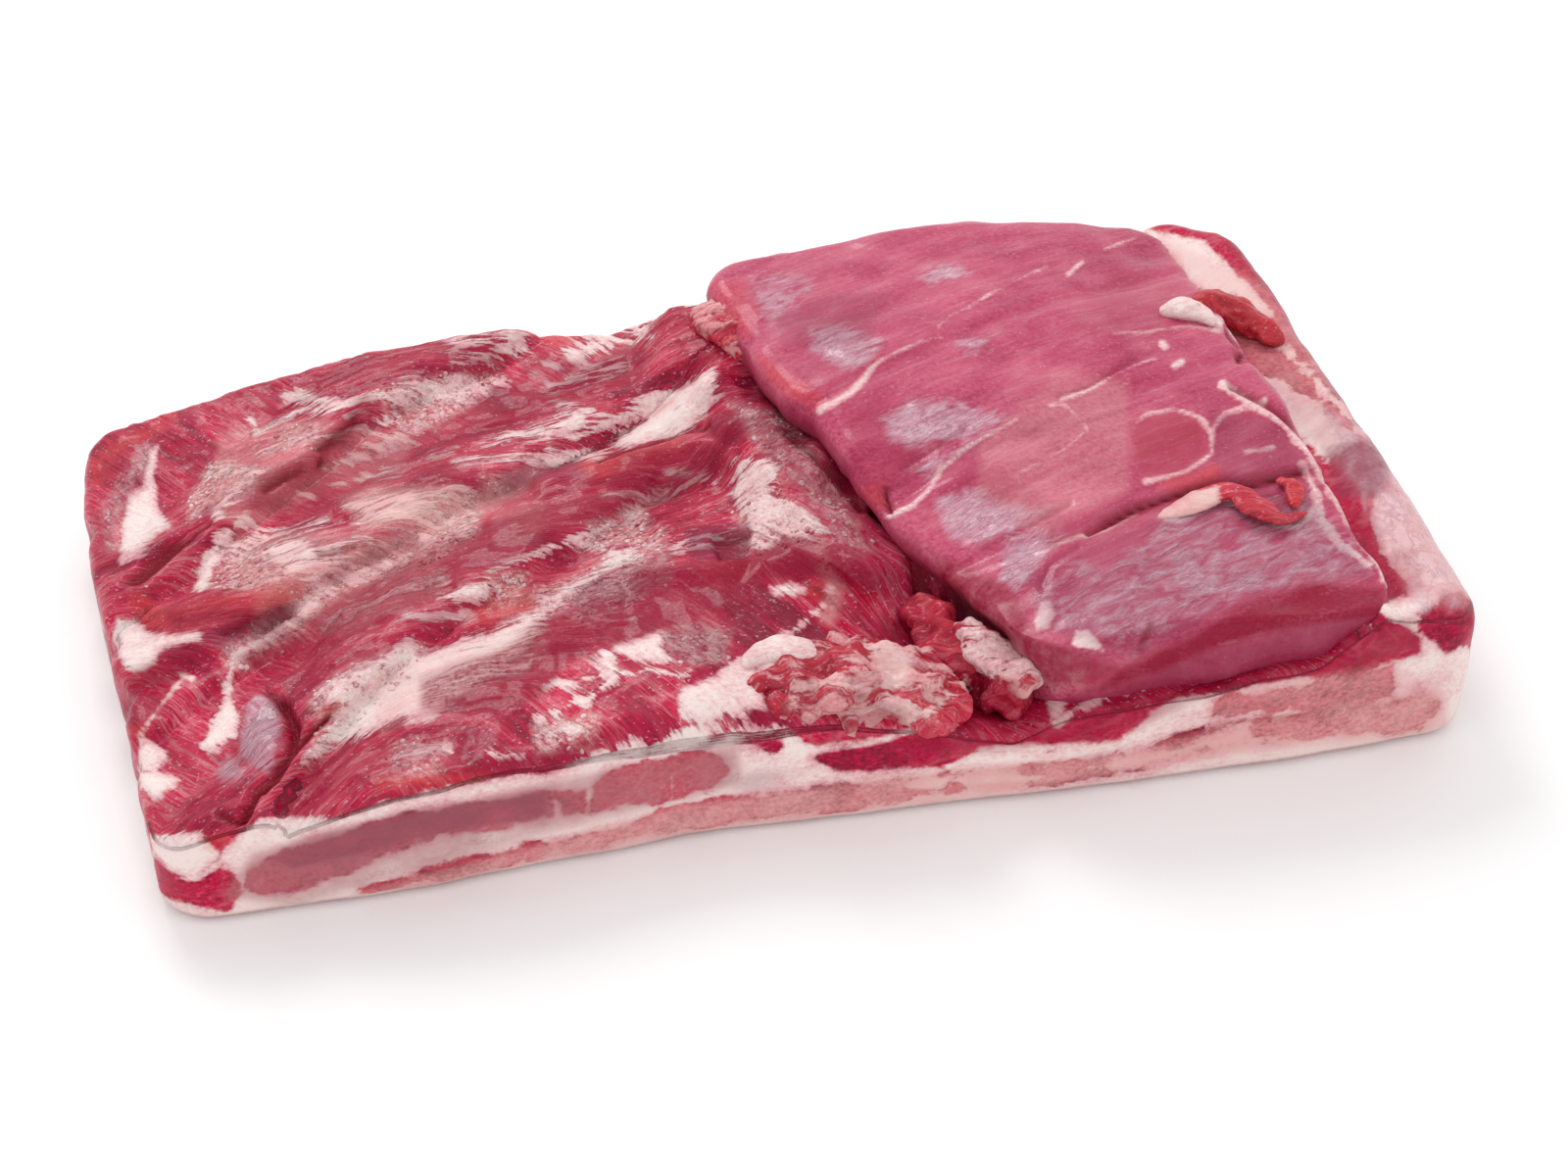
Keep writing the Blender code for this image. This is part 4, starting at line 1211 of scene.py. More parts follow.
@dataclass(frozen=True)
class MeatBlock:
    """A block of meat whose sides and top follow a few outlines."""

    span_x: Point
    span_y: Point
    cells_x: tuple[tuple[float, float], ...]
    cell_y: float
    corner: float
    under_round: float
    plain_rows: int = 20
    under_steps: int = 4
    rim_steps: int = 7
    settle: float = 30 * MM
    ring_shares: tuple[float, ...] = (0.97, 0.9, 0.78, 0.6, 0.35)

    def left(self, y: np.ndarray) -> np.ndarray:
        """Left outline."""
        raise NotImplementedError

    def right(self, y: np.ndarray) -> np.ndarray:
        """Right outline."""
        raise NotImplementedError

    def front(self, x: np.ndarray) -> np.ndarray:
        """Front outline."""
        raise NotImplementedError

    def back(self, x: np.ndarray) -> np.ndarray:
        """Back outline."""
        raise NotImplementedError

    def top(self, x: np.ndarray, y: np.ndarray) -> np.ndarray:
        """Height of the top."""
        raise NotImplementedError

    def floor(self, x: np.ndarray, y: np.ndarray) -> np.ndarray:
        """Height of the underside."""
        raise NotImplementedError

    def rim(self, x: np.ndarray, y: np.ndarray) -> np.ndarray:
        """Radius of the upper rim."""
        raise NotImplementedError

    def side_relief(self, x: np.ndarray, y: np.ndarray, z: np.ndarray) -> np.ndarray:
        """How far the sides lie in from the outlines."""
        return 0.6 * unevenness(x, y, z + 1.0)

    def cuts_x(self) -> np.ndarray:
        """Places of the cuts along X: cells of one width up to each given end."""
        start, cuts = self.span_x[0], [self.span_x[0]]
        for end, cell in self.cells_x:
            count = max(1, round((end - start) / cell))
            cuts += [start + (end - start) * step / count for step in range(1, count + 1)]
            start = end
        return np.array(cuts)

    def cuts_y(self) -> np.ndarray:
        """Places of the even cuts along Y."""
        count = max(1, round((self.span_y[1] - self.span_y[0]) / self.cell_y))
        return np.linspace(*self.span_y, count + 1)

    def place(self, x: np.ndarray, y: np.ndarray, inset: np.ndarray) -> tuple[np.ndarray, np.ndarray]:
        """Where nominal points of the block lie in the plan.

        Args:
            x: Nominal places along X, as on the cut block.
            y: Nominal places along Y.
            inset: How far the side is pulled in at each point.

        Returns:
            Their places along X and along Y.
        """
        middle = ((self.span_x[0] + self.span_x[1]) / 2, (self.span_y[0] + self.span_y[1]) / 2)
        half = ((self.span_x[1] - self.span_x[0]) / 2, (self.span_y[1] - self.span_y[0]) / 2)
        moved, over = [], []
        for value, centre, reach in zip((x, y), middle, half):
            local = value - centre
            pull = inset * np.maximum(0.0, 1.0 - (reach - np.abs(local)) / self.settle)
            moved.append(np.copysign(np.abs(local) - pull, local))
            over.append(np.maximum(0.0, np.abs(moved[-1]) - (reach - self.corner)))
        both = np.minimum(*over) > 0.0
        circle = np.maximum(*over) / np.where(both, np.hypot(*over), 1.0)
        moved = [
            np.where(both, np.copysign(reach - self.corner + past * circle, local), local)
            for local, past, reach in zip(moved, over, half)
        ]
        share_x = (moved[0] + half[0]) / (2 * half[0])
        share_y = (moved[1] + half[1]) / (2 * half[1])
        nominal_y = middle[1] + moved[1]
        plan_x = self.left(nominal_y) * (1.0 - share_x) + self.right(nominal_y) * share_x
        plan_y = self.front(plan_x) * (1.0 - share_y) + self.back(plan_x) * share_y
        return plan_x, plan_y

    def side_rows(self, x: np.ndarray, y: np.ndarray) -> list[np.ndarray]:
        """Rings of points up the sides, from the underside to the rim.

        Args:
            x: Places along X.
            y: Places along Y.

        Returns:
            The rings, from the lowest up.
        """
        none = np.zeros(len(x))
        rim = self.rim(*self.place(x, y, none))
        rim_place = self.place(x, y, rim)
        foot_place = self.place(x, y, none + self.under_round)
        floor, top = self.floor(*foot_place), self.top(*rim_place)
        rows = []
        for angle in np.linspace(90.0, 0.0, self.under_steps + 1):
            bend = math.radians(angle)
            inset = self.under_round * (1 - math.cos(bend))
            rows.append((inset, floor + self.under_round * (1 - math.sin(bend))))
        low, high = floor + self.under_round, top - rim
        rows += [(none, low + (high - low) * row / self.plain_rows) for row in range(1, self.plain_rows)]
        for angle in np.linspace(0.0, 90.0, self.rim_steps + 1):
            bend = math.radians(angle)
            rows.append((rim * (1 - math.cos(bend)), top - rim * (1 - math.sin(bend))))
        rings = []
        for inset, z in rows:
            plan = self.place(x, y, inset + self.side_relief(*rim_place, z))
            rings.append(np.column_stack((*plan, z)))
        return rings

    def surface(self) -> Surface:
        """Build the closed surface: top grid, side rows and rings underneath."""
        cuts_x, cuts_y = self.cuts_x(), self.cuts_y()
        last_x, last_y = len(cuts_x) - 1, len(cuts_y) - 1
        ring = [(i, 0) for i in range(last_x)] + [(last_x, j) for j in range(last_y)]
        ring += [(i, last_y) for i in range(last_x, 0, -1)] + [(0, j) for j in range(last_y, 0, -1)]
        ring_x = cuts_x[[i for i, _ in ring]]
        ring_y = cuts_y[[j for _, j in ring]]
        rings = self.side_rows(ring_x, ring_y)

        grid_x, grid_y = (part.ravel() for part in np.meshgrid(cuts_x, cuts_y, indexing="ij"))
        inset = self.rim(*self.place(grid_x, grid_y, np.zeros(len(grid_x))))
        rim_plan = self.place(grid_x, grid_y, inset)
        plan = self.place(grid_x, grid_y, inset + self.side_relief(*rim_plan, self.top(*rim_plan)))
        top = np.column_stack((*plan, self.top(*plan)))
        ring_top = np.array([i * (last_y + 1) + j for i, j in ring])
        top[ring_top] = rings[-1]

        foot = rings[0]
        centre = foot[:, :2].mean(axis=0)
        under = []
        for share in self.ring_shares:
            inner = centre + (foot[:, :2] - centre) * share
            under.append(np.column_stack((inner, self.floor(inner[:, 0], inner[:, 1]))))
        hub = np.array([[*centre, float(self.floor(centre[:1], centre[1:])[0])]])
        points = np.vstack([top, *rings[:-1], *under, hub])
        counts = (len(top), len(ring) * (len(rings) - 1), len(ring) * len(under) + 1)
        side = np.repeat((ON_TOP, ON_SIDES, UNDERNEATH), counts)
        return Surface(points, self.faces(last_x, last_y, ring_top, len(rings) - 1, len(under)), side)

    @staticmethod
    def faces(
        last_x: int, last_y: int, ring_top: np.ndarray, rows: int, rings: int
    ) -> list[tuple[int, ...]]:
        """Faces of the top, the sides and the underside, all looking outwards.

        Args:
            last_x: Number of the last cut along X.
            last_y: Number of the last cut along Y.
            ring_top: Vertices of the top along its rim, in order.
            rows: Number of rings up the sides.
            rings: Number of rings underneath.

        Returns:
            Each face as numbers of vertices.
        """
        wide = last_y + 1
        faces = [
            (i * wide + j, (i + 1) * wide + j, (i + 1) * wide + j + 1, i * wide + j + 1)
            for i in range(last_x)
            for j in range(last_y)
        ]
        count, first = len(ring_top), (last_x + 1) * wide
        levels = [np.arange(count) + first + row * count for row in range(rows)] + [ring_top]
        for lower, upper in zip(levels[:-1], levels[1:]):
            faces += zip(*(a.tolist() for a in (lower, np.roll(lower, -1), np.roll(upper, -1), upper)))
        first += rows * count
        levels = [levels[0]] + [np.arange(count) + first + row * count for row in range(rings)]
        for outer, inner in zip(levels[:-1], levels[1:]):
            faces += zip(*(a.tolist() for a in (outer, inner, np.roll(inner, -1), np.roll(outer, -1))))
        hub = first + rings * count
        faces += [(int(a), hub, int(b)) for a, b in zip(levels[-1], np.roll(levels[-1], -1))]
        return faces


# Furrows left by the ribs: points (mm), sink and stand of the muscle behind.
FURROWS = (
    (((-128, -94), (-114, -72), (-100, -52), (-88, -40), (-70, -28), (-46, -13), (-18, 10)), 2.6, 5.0),
    (((-164, -54), (-150, -45), (-128, -30), (-118, -24)), 2.0, 2.4),
    (((-160, -24), (-128, -20), (-110, -10), (-97, -2), (-64, 15), (-40, 25), (-8, 47)), 2.6, 4.6),
    (((-162, -4), (-145, 4), (-126, 22), (-101, 40), (-84, 56), (-50, 70), (-25, 88)), 3.2, 4.4),
)


@dataclass(frozen=True)
class Barbs:
    """Fibres that fan out behind each furrow, like the barbs of a feather."""

    furrows: tuple[int, ...] = (0, 2, 3)
    reach: float = 26.0
    near_turn: float = -36.0
    far_turn: float = -19.0
    furrow_turn: float = 33.0
    flank: float = 126.0
    flank_turn: float = 25.0
    flank_squeeze: float = 0.25

    def lanes(self, x: np.ndarray, y: np.ndarray) -> tuple[np.ndarray, np.ndarray]:
        """How far each place lies behind the furrow in front of it, and which lobe it is on.

        Args:
            x: Places along X.
            y: Places along Y.

        Returns:
            The distance in mm, and the number of the lobe.
        """
        behind = np.full(len(x), -1.0)
        lobe = np.zeros(len(x))
        for number, index in enumerate(self.furrows):
            points = np.array(FURROWS[index][0], float)
            slope = (points[-1, 1] - points[0, 1]) / (points[-1, 0] - points[0, 0])
            line = np.interp(x, points[:, 0], points[:, 1])
            line += slope * (np.minimum(x - points[0, 0], 0.0) + np.maximum(x - points[-1, 0], 0.0))
            gap = (y - line) / math.hypot(1.0, slope)
            if number == 0:
                behind = np.where(gap < 0.0, gap + self.reach, behind)
            behind = np.where(gap >= 0.0, gap, behind)
            lobe = np.where(gap >= 0.0, number + 1.0, lobe)
        return behind, lobe

    def space(self, points: np.ndarray, cut: np.ndarray) -> np.ndarray:
        """Places along and across the fibres, in metres.

        Args:
            points: Places on the slab, in its own frame.
            cut: 1 on cut walls, where fibres end.

        Returns:
            Places whose first axis runs along the fibres.
        """
        places = points / MM
        x, y = places[:, 0], places[:, 1]
        behind, lobe = self.lanes(x, y)
        behind = np.clip(behind, 0.0, self.reach)
        near, far = (-1.0 / math.tan(math.radians(turn)) for turn in (self.near_turn, self.far_turn))
        travelled = turned(places, self.furrow_turn)[:, 0]
        across = travelled + near * behind + (far - near) * behind**2 / (2.0 * self.reach)
        across += (near + far) * self.reach / 2.0 * lobe
        on_flank = self.flank_squeeze * turned(places, self.flank_turn)[:, 1]
        across = np.where(x > self.flank, on_flank, across)
        across = np.where(cut > 0.5, 0.0, across)
        onward = np.where(cut > 0.5, x + y, x)
        return np.column_stack((onward, across, places[:, 2])) * MM


@dataclass(frozen=True)
class SlabBlock(MeatBlock):
    """The slab itself, without the flap."""

    span_x: Point = (-159 * MM, 159 * MM)
    span_y: Point = (-85 * MM, 85 * MM)
    cells_x: tuple[tuple[float, float], ...] = ((45 * MM, 0.85 * MM), (159 * MM, 1.2 * MM))
    cell_y: float = 1.1 * MM
    corner: float = 11 * MM
    under_round: float = 5 * MM
    furrow_front: float = 10 * MM
    furrow_steep: float = 3.2 * MM
    furrow_back: float = 22 * MM
    furrow_end: float = 22 * MM
    groove_width: float = 1.8 * MM
    ledge: float = 3.4 * MM
    shoulder_height: float = 14.5 * MM
    shoulder_lumps: float = 3.5 * MM

    def left(self, y: np.ndarray) -> np.ndarray:
        """Rib end: it leans out towards the back, with notches where furrows end."""
        edge = along(y, (-90, -147.5), (-39, -152.5), (2, -156.5), (27, -159.5), (52, -161), (86, -160))
        notches = ((-45, 2.0), (-23, 3.5), (-2, 3.5), (46, 2.0))
        return edge + sum(depth * MM * bell(y, place * MM, 5 * MM) for place, depth in notches)

    def right(self, y: np.ndarray) -> np.ndarray:
        """Flank end: almost straight."""
        return along(y, (-88, 160), (-40, 162), (20, 162.5), (60, 162), (88, 158.5))

    def front(self, x: np.ndarray) -> np.ndarray:
        """Front face: a clean, slightly wavy cut."""
        return along(
            x, (-150, -84), (-99, -85.5), (-63, -84), (-31, -82), (5, -84), (61, -87), (109, -89),
            (158, -87),
        )

    def back(self, x: np.ndarray) -> np.ndarray:
        """Back edge."""
        return along(x, (-160, 83), (-80, 84.5), (0, 84), (60, 86.5), (150, 85))

    def furrows(self, x: np.ndarray, y: np.ndarray) -> np.ndarray:
        """Height that the furrows and the muscles between them add.

        Args:
            x: Places along X.
            y: Places along Y.

        Returns:
            The height at each place.
        """
        total = np.zeros(len(x))
        for points, sink, stand in FURROWS:
            places = np.array([point[0] for point in points]) * MM
            lines = np.array([point[1] for point in points]) * MM
            fade = smooth(places[0] - self.furrow_end, places[0], x)
            fade *= 1.0 - smooth(places[-1], places[-1] + self.furrow_end, x)
            slope = (lines[-1] - lines[0]) / (places[-1] - places[0])
            reach = (y - np.interp(x, places, lines)) / math.hypot(1.0, slope)
            before = -sink * np.exp(np.minimum(reach, 0.0) / self.furrow_front)
            rise = 1.0 - np.exp(-np.maximum(reach, 0.0) / self.furrow_steep)
            fall = np.exp(-np.maximum(reach, 0.0) / self.furrow_back)
            behind = -sink * (1.0 - rise) + stand * rise * fall
            total += fade * np.where(reach < 0.0, before, behind) * MM
        return total

    def top(self, x: np.ndarray, y: np.ndarray) -> np.ndarray:
        """Height of the rib side, the bed under the flap and the flank end.

        Args:
            x: Places along X.
            y: Places along Y.

        Returns:
            The height at each place.
        """
        ribs = along(
            x, (-160, 19), (-130, 25), (-96, 31), (-70, 34), (-20, 34), (4, 32), (30, 25), (45, 20)
        )
        rise = along(x, (-160, 2), (-122, 5), (-78, 3), (-36, 5), (-16, 0), (30, 2))
        rise *= smooth(30 * MM, 80 * MM, y)
        flank = along(x, (45, 20), (118, 27), (133, 38.5), (158, 40))
        flank += 2 * MM * smooth(118 * MM, 136 * MM, x) * smooth(-60 * MM, 60 * MM, y)
        bed = 4 * MM * smooth(30 * MM, 85 * MM, y) * smooth(0.0, 30 * MM, x)
        on_ribs = 1.0 - smooth(8 * MM, 34 * MM, x)
        base = np.where(x < 45 * MM, ribs, flank)
        ledge = self.ledge * smooth(-66 * MM, -76 * MM, y)
        ledge *= smooth(44 * MM, 58 * MM, x) * smooth(140 * MM, 130 * MM, x)
        risen = base + bed + rise + on_ribs * self.furrows(x, y) + ledge
        return risen + unevenness(x, y, 0.0) + self.shoulder(x, y)

    def shoulder(self, x: np.ndarray, y: np.ndarray) -> np.ndarray:
        """Lean that runs up under the free edge of the flap.

        Args:
            x: Places along X.
            y: Places along Y.

        Returns:
            The height at each place.
        """
        before = FlapBlock().left(y) - x
        near = smooth(26 * MM, 1 * MM, before) * smooth(-50 * MM, -30 * MM, before)
        near *= smooth(-54 * MM, -34 * MM, y)
        lumps = swells(x, y, 0.0, 10 * MM, (4.4, 1.2, 0.7))
        return near * (self.shoulder_height + self.shoulder_lumps * lumps) * smooth(86 * MM, 70 * MM, y)

    def floor(self, x: np.ndarray, y: np.ndarray) -> np.ndarray:
        """Flat underside."""
        return np.zeros(len(x))

    def rim(self, x: np.ndarray, y: np.ndarray) -> np.ndarray:
        """Upper rim, softer where the front face falls away and at the flank end."""
        sloping = 9 * MM * bell(x, -24 * MM, 24 * MM) * (1.0 - smooth(-70 * MM, -30 * MM, y))
        end = 7 * MM * smooth(138 * MM, 156 * MM, x)
        return 5 * MM + sloping - 2 * MM * smooth(30 * MM, 50 * MM, x) + end

    def side_relief(self, x: np.ndarray, y: np.ndarray, z: np.ndarray) -> np.ndarray:
        """Grooves between the muscle layers along the front face, and unevenness.

        Args:
            x: Places along X.
            y: Places along Y.
            z: Heights.

        Returns:
            The depth at each place.
        """
        depth = np.zeros(len(x))
        for (x0, z0), (x1, z1), sink in (((36, 9), (150, 17), 0.7), ((-128, 12), (-28, 20), 0.7)):
            share = (x / MM - x0) / (x1 - x0)
            fade = smooth(0.0, 0.08, share) * (1.0 - smooth(0.9, 1.0, share))
            depth += sink * MM * fade * bell(z, (z0 + (z1 - z0) * share) * MM, self.groove_width)
        on_front = 1.0 - smooth(-80 * MM, -60 * MM, y)
        return on_front * depth + 0.6 * unevenness(x, y, z + 1.0)


@dataclass(frozen=True)
class FlapBlock(MeatBlock):
    """The flap of flank muscle, with a free, undercut left edge."""

    span_x: Point = (8 * MM, 138 * MM)
    span_y: Point = (-79 * MM, 85 * MM)
    cells_x: tuple[tuple[float, float], ...] = ((138 * MM, 0.85 * MM),)
    cell_y: float = 1.05 * MM
    corner: float = 12 * MM
    under_round: float = 3 * MM
    plain_rows: int = 10
    rim_steps: int = 8
    under_steps: int = 6
    sunk: float = 9 * MM

    def left(self, y: np.ndarray) -> np.ndarray:
        """Free edge: it steps back towards the front."""
        return along(
            y, (-84, 68), (-78, 50), (-58, 41), (-48, 36), (-37, 29), (-20, 24), (7, 19), (18, 13),
            (50, 7), (84, 4),
        )

    def right(self, y: np.ndarray) -> np.ndarray:
        """Seam with the flank end."""
        return along(y, (-84, 137), (-40, 139), (0, 138), (30, 137), (60, 138), (84, 136))

    def front(self, x: np.ndarray) -> np.ndarray:
        """Cut face, flush with the front of the slab on the right."""
        return along(x, (30, -75), (60, -83), (75, -82.5), (100, -84.5), (132, -86))

    def back(self, x: np.ndarray) -> np.ndarray:
        """Back edge."""
        return along(x, (0, 80), (30, 84.5), (70, 86), (135, 84))

    def top(self, x: np.ndarray, y: np.ndarray) -> np.ndarray:
        """A broad, low dome that droops at its front left corner.

        Args:
            x: Places along X.
            y: Places along Y.

        Returns:
            The height at each place.
        """
        height = 42 * MM + 12 * MM * smooth(-95 * MM, 40 * MM, y)
        droop = 7 * MM * (1.0 - smooth(30 * MM, 80 * MM, x)) * (1.0 - smooth(-80 * MM, 10 * MM, y))
        crown = 2.5 * MM * bell(x, 62 * MM, 40 * MM)
        far_end = 5 * MM * smooth(95 * MM, 140 * MM, x) * smooth(-20 * MM, 70 * MM, y)
        seams = sum(
            1.2 * MM * bell(y - slope * (x - 80 * MM), place * MM, 2.6 * MM)
            for place, slope in ((-44, 0.12), (-8, 0.35), (34, 0.4))
        )
        return height + crown - droop - far_end - seams + unevenness(x, y, 1.0)

    def floor(self, x: np.ndarray, y: np.ndarray) -> np.ndarray:
        """Hidden underside: it meets the front face along the seam."""
        return along(x, (40, 17), (134, 29)) - self.sunk * smooth(-74 * MM, -62 * MM, y)

    def rim(self, x: np.ndarray, y: np.ndarray) -> np.ndarray:
        """Upper rim, sharpest along the cut face."""
        return 6 * MM - 4 * MM * smooth(-58 * MM, -74 * MM, y)

    def side_relief(self, x: np.ndarray, y: np.ndarray, z: np.ndarray) -> np.ndarray:
        """The free edge is scalloped, and undercut below.

        Args:
            x: Places along X.
            y: Places along Y.
            z: Heights.

        Returns:
            The depth at each place.
        """
        free = smooth(70 * MM, 44 * MM, x) * smooth(-84 * MM, -66 * MM, y)
        wave = swells(x, y, z * 0.6, 15 * MM, (2.3, 4.1, 6.6))
        under = smooth(47 * MM, 33 * MM, z + 3 * MM * wave + 6 * MM * smooth(0.0, -60 * MM, y))
        return 0.6 * unevenness(x, y, z + 1.0) + free * (9 * MM * under + 1.6 * MM * wave + 0.8 * MM)


# ------------------------------------------------------------------ finishes

class Wire:
    """A value in a shader that takes part in Python arithmetic."""

    def __init__(self, sheet: "Sheet", socket: bpy.types.NodeSocket) -> None:
        """Wrap an output socket of a sheet."""
        self.sheet = sheet
        self.socket = socket

    def math(self, operation: str, *values: "Wire | float") -> "Wire":
        """Add a Math node on this value and others."""
        made = self.sheet.node("ShaderNodeMath", {"operation": operation}, dict(enumerate(values)))
        return Wire(self.sheet, made.outputs[0])

    def __add__(self, other: "Wire | float") -> "Wire":
        """Sum."""
        return self.math("ADD", self, other)

    __radd__ = __add__

    def __sub__(self, other: "Wire | float") -> "Wire":
        """Difference."""
        return self.math("SUBTRACT", self, other)

    def __rsub__(self, other: float) -> "Wire":
        """Difference from a number."""
        return self.math("SUBTRACT", other, self)

    def __mul__(self, other: "Wire | float") -> "Wire":
        """Product."""
        return self.math("MULTIPLY", self, other)

    __rmul__ = __mul__

    def step(self, low: "Wire | float", high: "Wire | float") -> "Wire":
        """Smooth step from 0 at low to 1 at high.

        Args:
            low: Where the step starts.
            high: Where the step ends.

        Returns:
            The step, from 0 to 1.
        """
        made = self.sheet.node(
            "ShaderNodeMapRange",
            {"interpolation_type": "SMOOTHSTEP"},
            {"Value": self, "From Min": low, "From Max": high},
        )
        return Wire(self.sheet, made.outputs[0])

    def ridge(self) -> "Wire":
        """1 along the lines where a noise passes its middle, 0 away from them."""
        return 1.0 - self.math("ABSOLUTE", self * 2.0)

    def share(self) -> "Wire":
        """The value kept from 0 to 1."""
        positive = self.math("MAXIMUM", self, 0.0)
        return self.math("MINIMUM", positive, 1.0)


class Sheet:
    """The node sheet of one material."""

    def __init__(self, name: str) -> None:
        """Start a material with an empty Principled BSDF.

        Args:
            name: Its name.
        """
        self.material = bpy.data.materials.new(name)
        self.material.use_nodes = True
        self.tree = self.material.node_tree
        self.shader = self.tree.nodes["Principled BSDF"]
        self.position = self.node("ShaderNodeTexCoord", {}, {}).outputs["Object"]
        self.fibres = self.node("ShaderNodeAttribute", {"attribute_name": "fibres"}, {}).outputs["Vector"]

    def node(
        self, kind: str, settings: Mapping[str, object], sockets: Mapping[str | int, object]
    ) -> bpy.types.Node:
        """Add a node.

        Args:
            kind: Type name of the node.
            settings: Values of its properties; stops sets a ramp.
            sockets: Values or links of its inputs.

        Returns:
            The node.
        """
        made = self.tree.nodes.new(kind)
        for name, value in settings.items():
            if name == "stops":
                self.set_stops(made.color_ramp, value)
            else:
                setattr(made, name, value)
        for name, value in sockets.items():
            self.feed(made.inputs[name], value)
        return made

    @staticmethod
    def set_stops(ramp: bpy.types.ColorRamp, stops: Sequence[tuple[float, Colour]]) -> None:
        """Set the stops of a colour ramp.

        Args:
            ramp: The ramp.
            stops: Place and colour of each stop.
        """
        while len(ramp.elements) < len(stops):
            ramp.elements.new(1.0)
        for element, (place, colour) in zip(ramp.elements, stops):
            element.position = place
            element.color = (*colour, 1.0)

    def feed(self, socket: bpy.types.NodeSocket, value: object) -> None:
        """Link an input, or set its value.

        Args:
            socket: The input.
            value: A wire, a socket, a colour or a number.
        """
        if isinstance(value, Wire):
            self.tree.links.new(value.socket, socket)
        elif isinstance(value, bpy.types.NodeSocket):
            self.tree.links.new(value, socket)
        elif socket.type == "RGBA":
            socket.default_value = (*value, 1.0)
        else:
            socket.default_value = value

    def attribute(self, name: str) -> Wire:
        """A painted value of the piece."""
        made = self.node("ShaderNodeAttribute", {"attribute_name": name}, {})
        return Wire(self, made.outputs["Fac"])

    def noise(
        self, lengths: Sequence[float], detail: float = 2.0, rough: float = 0.5, bend: float = 0.0,
        shift: float = 0.0, free: bool = False,
    ) -> Wire:
        """Noise from about -0.5 to 0.5.

        Args:
            lengths: Length of a bump (mm) along the fibres, across them and upwards.
            detail: Number of finer layers.
            rough: Strength of the finer layers.
            bend: How far the pattern is distorted.
            shift: Offset (mm) that picks another draw.
            free: Take no notice of the fibres.

        Returns:
            The noise.
        """
        mapped = self.node(
            "ShaderNodeMapping",
            {"vector_type": "TEXTURE"},
            {
                "Vector": self.position if free else self.fibres,
                "Location": (shift * MM, shift * MM, 0.0),
                "Scale": tuple(length * MM for length in lengths),
            },
        )
        made = self.node(
            "ShaderNodeTexNoise",
            {},
            {
                "Vector": mapped.outputs[0],
                "Scale": 1.0,
                "Detail": detail,
                "Roughness": rough,
                "Distortion": bend,
            },
        )
        return Wire(self, made.outputs[0]) - 0.5

    def ramp(self, value: Wire, *stops: tuple[float, Colour]) -> bpy.types.NodeSocket:
        """Colour along a ramp."""
        made = self.node("ShaderNodeValToRGB", {"stops": stops}, {"Fac": value})
        return made.outputs[0]

    def mix(self, share: Wire, first: object, second: object) -> bpy.types.NodeSocket:
        """Mix two colours."""
        made = self.node("ShaderNodeMix", {"data_type": "RGBA"}, {0: share, 6: first, 7: second})
        return made.outputs[2]

    def finish(self, colour: object, rough: Wire, coat: Wire, height: Wire) -> None:
        """Feed the shader.

        Args:
            colour: Base colour.
            rough: Roughness.
            coat: Coat weight.
            height: Height of the fine relief in mm.
        """
        bump = self.node("ShaderNodeBump", {}, {"Strength": 1.0, "Distance": 1.0, "Height": height * MM})
        self.feed(self.shader.inputs["Base Color"], colour)
        self.feed(self.shader.inputs["Roughness"], rough)
        self.feed(self.shader.inputs["Coat Weight"], coat)
        self.feed(self.shader.inputs["Normal"], bump.outputs[0])


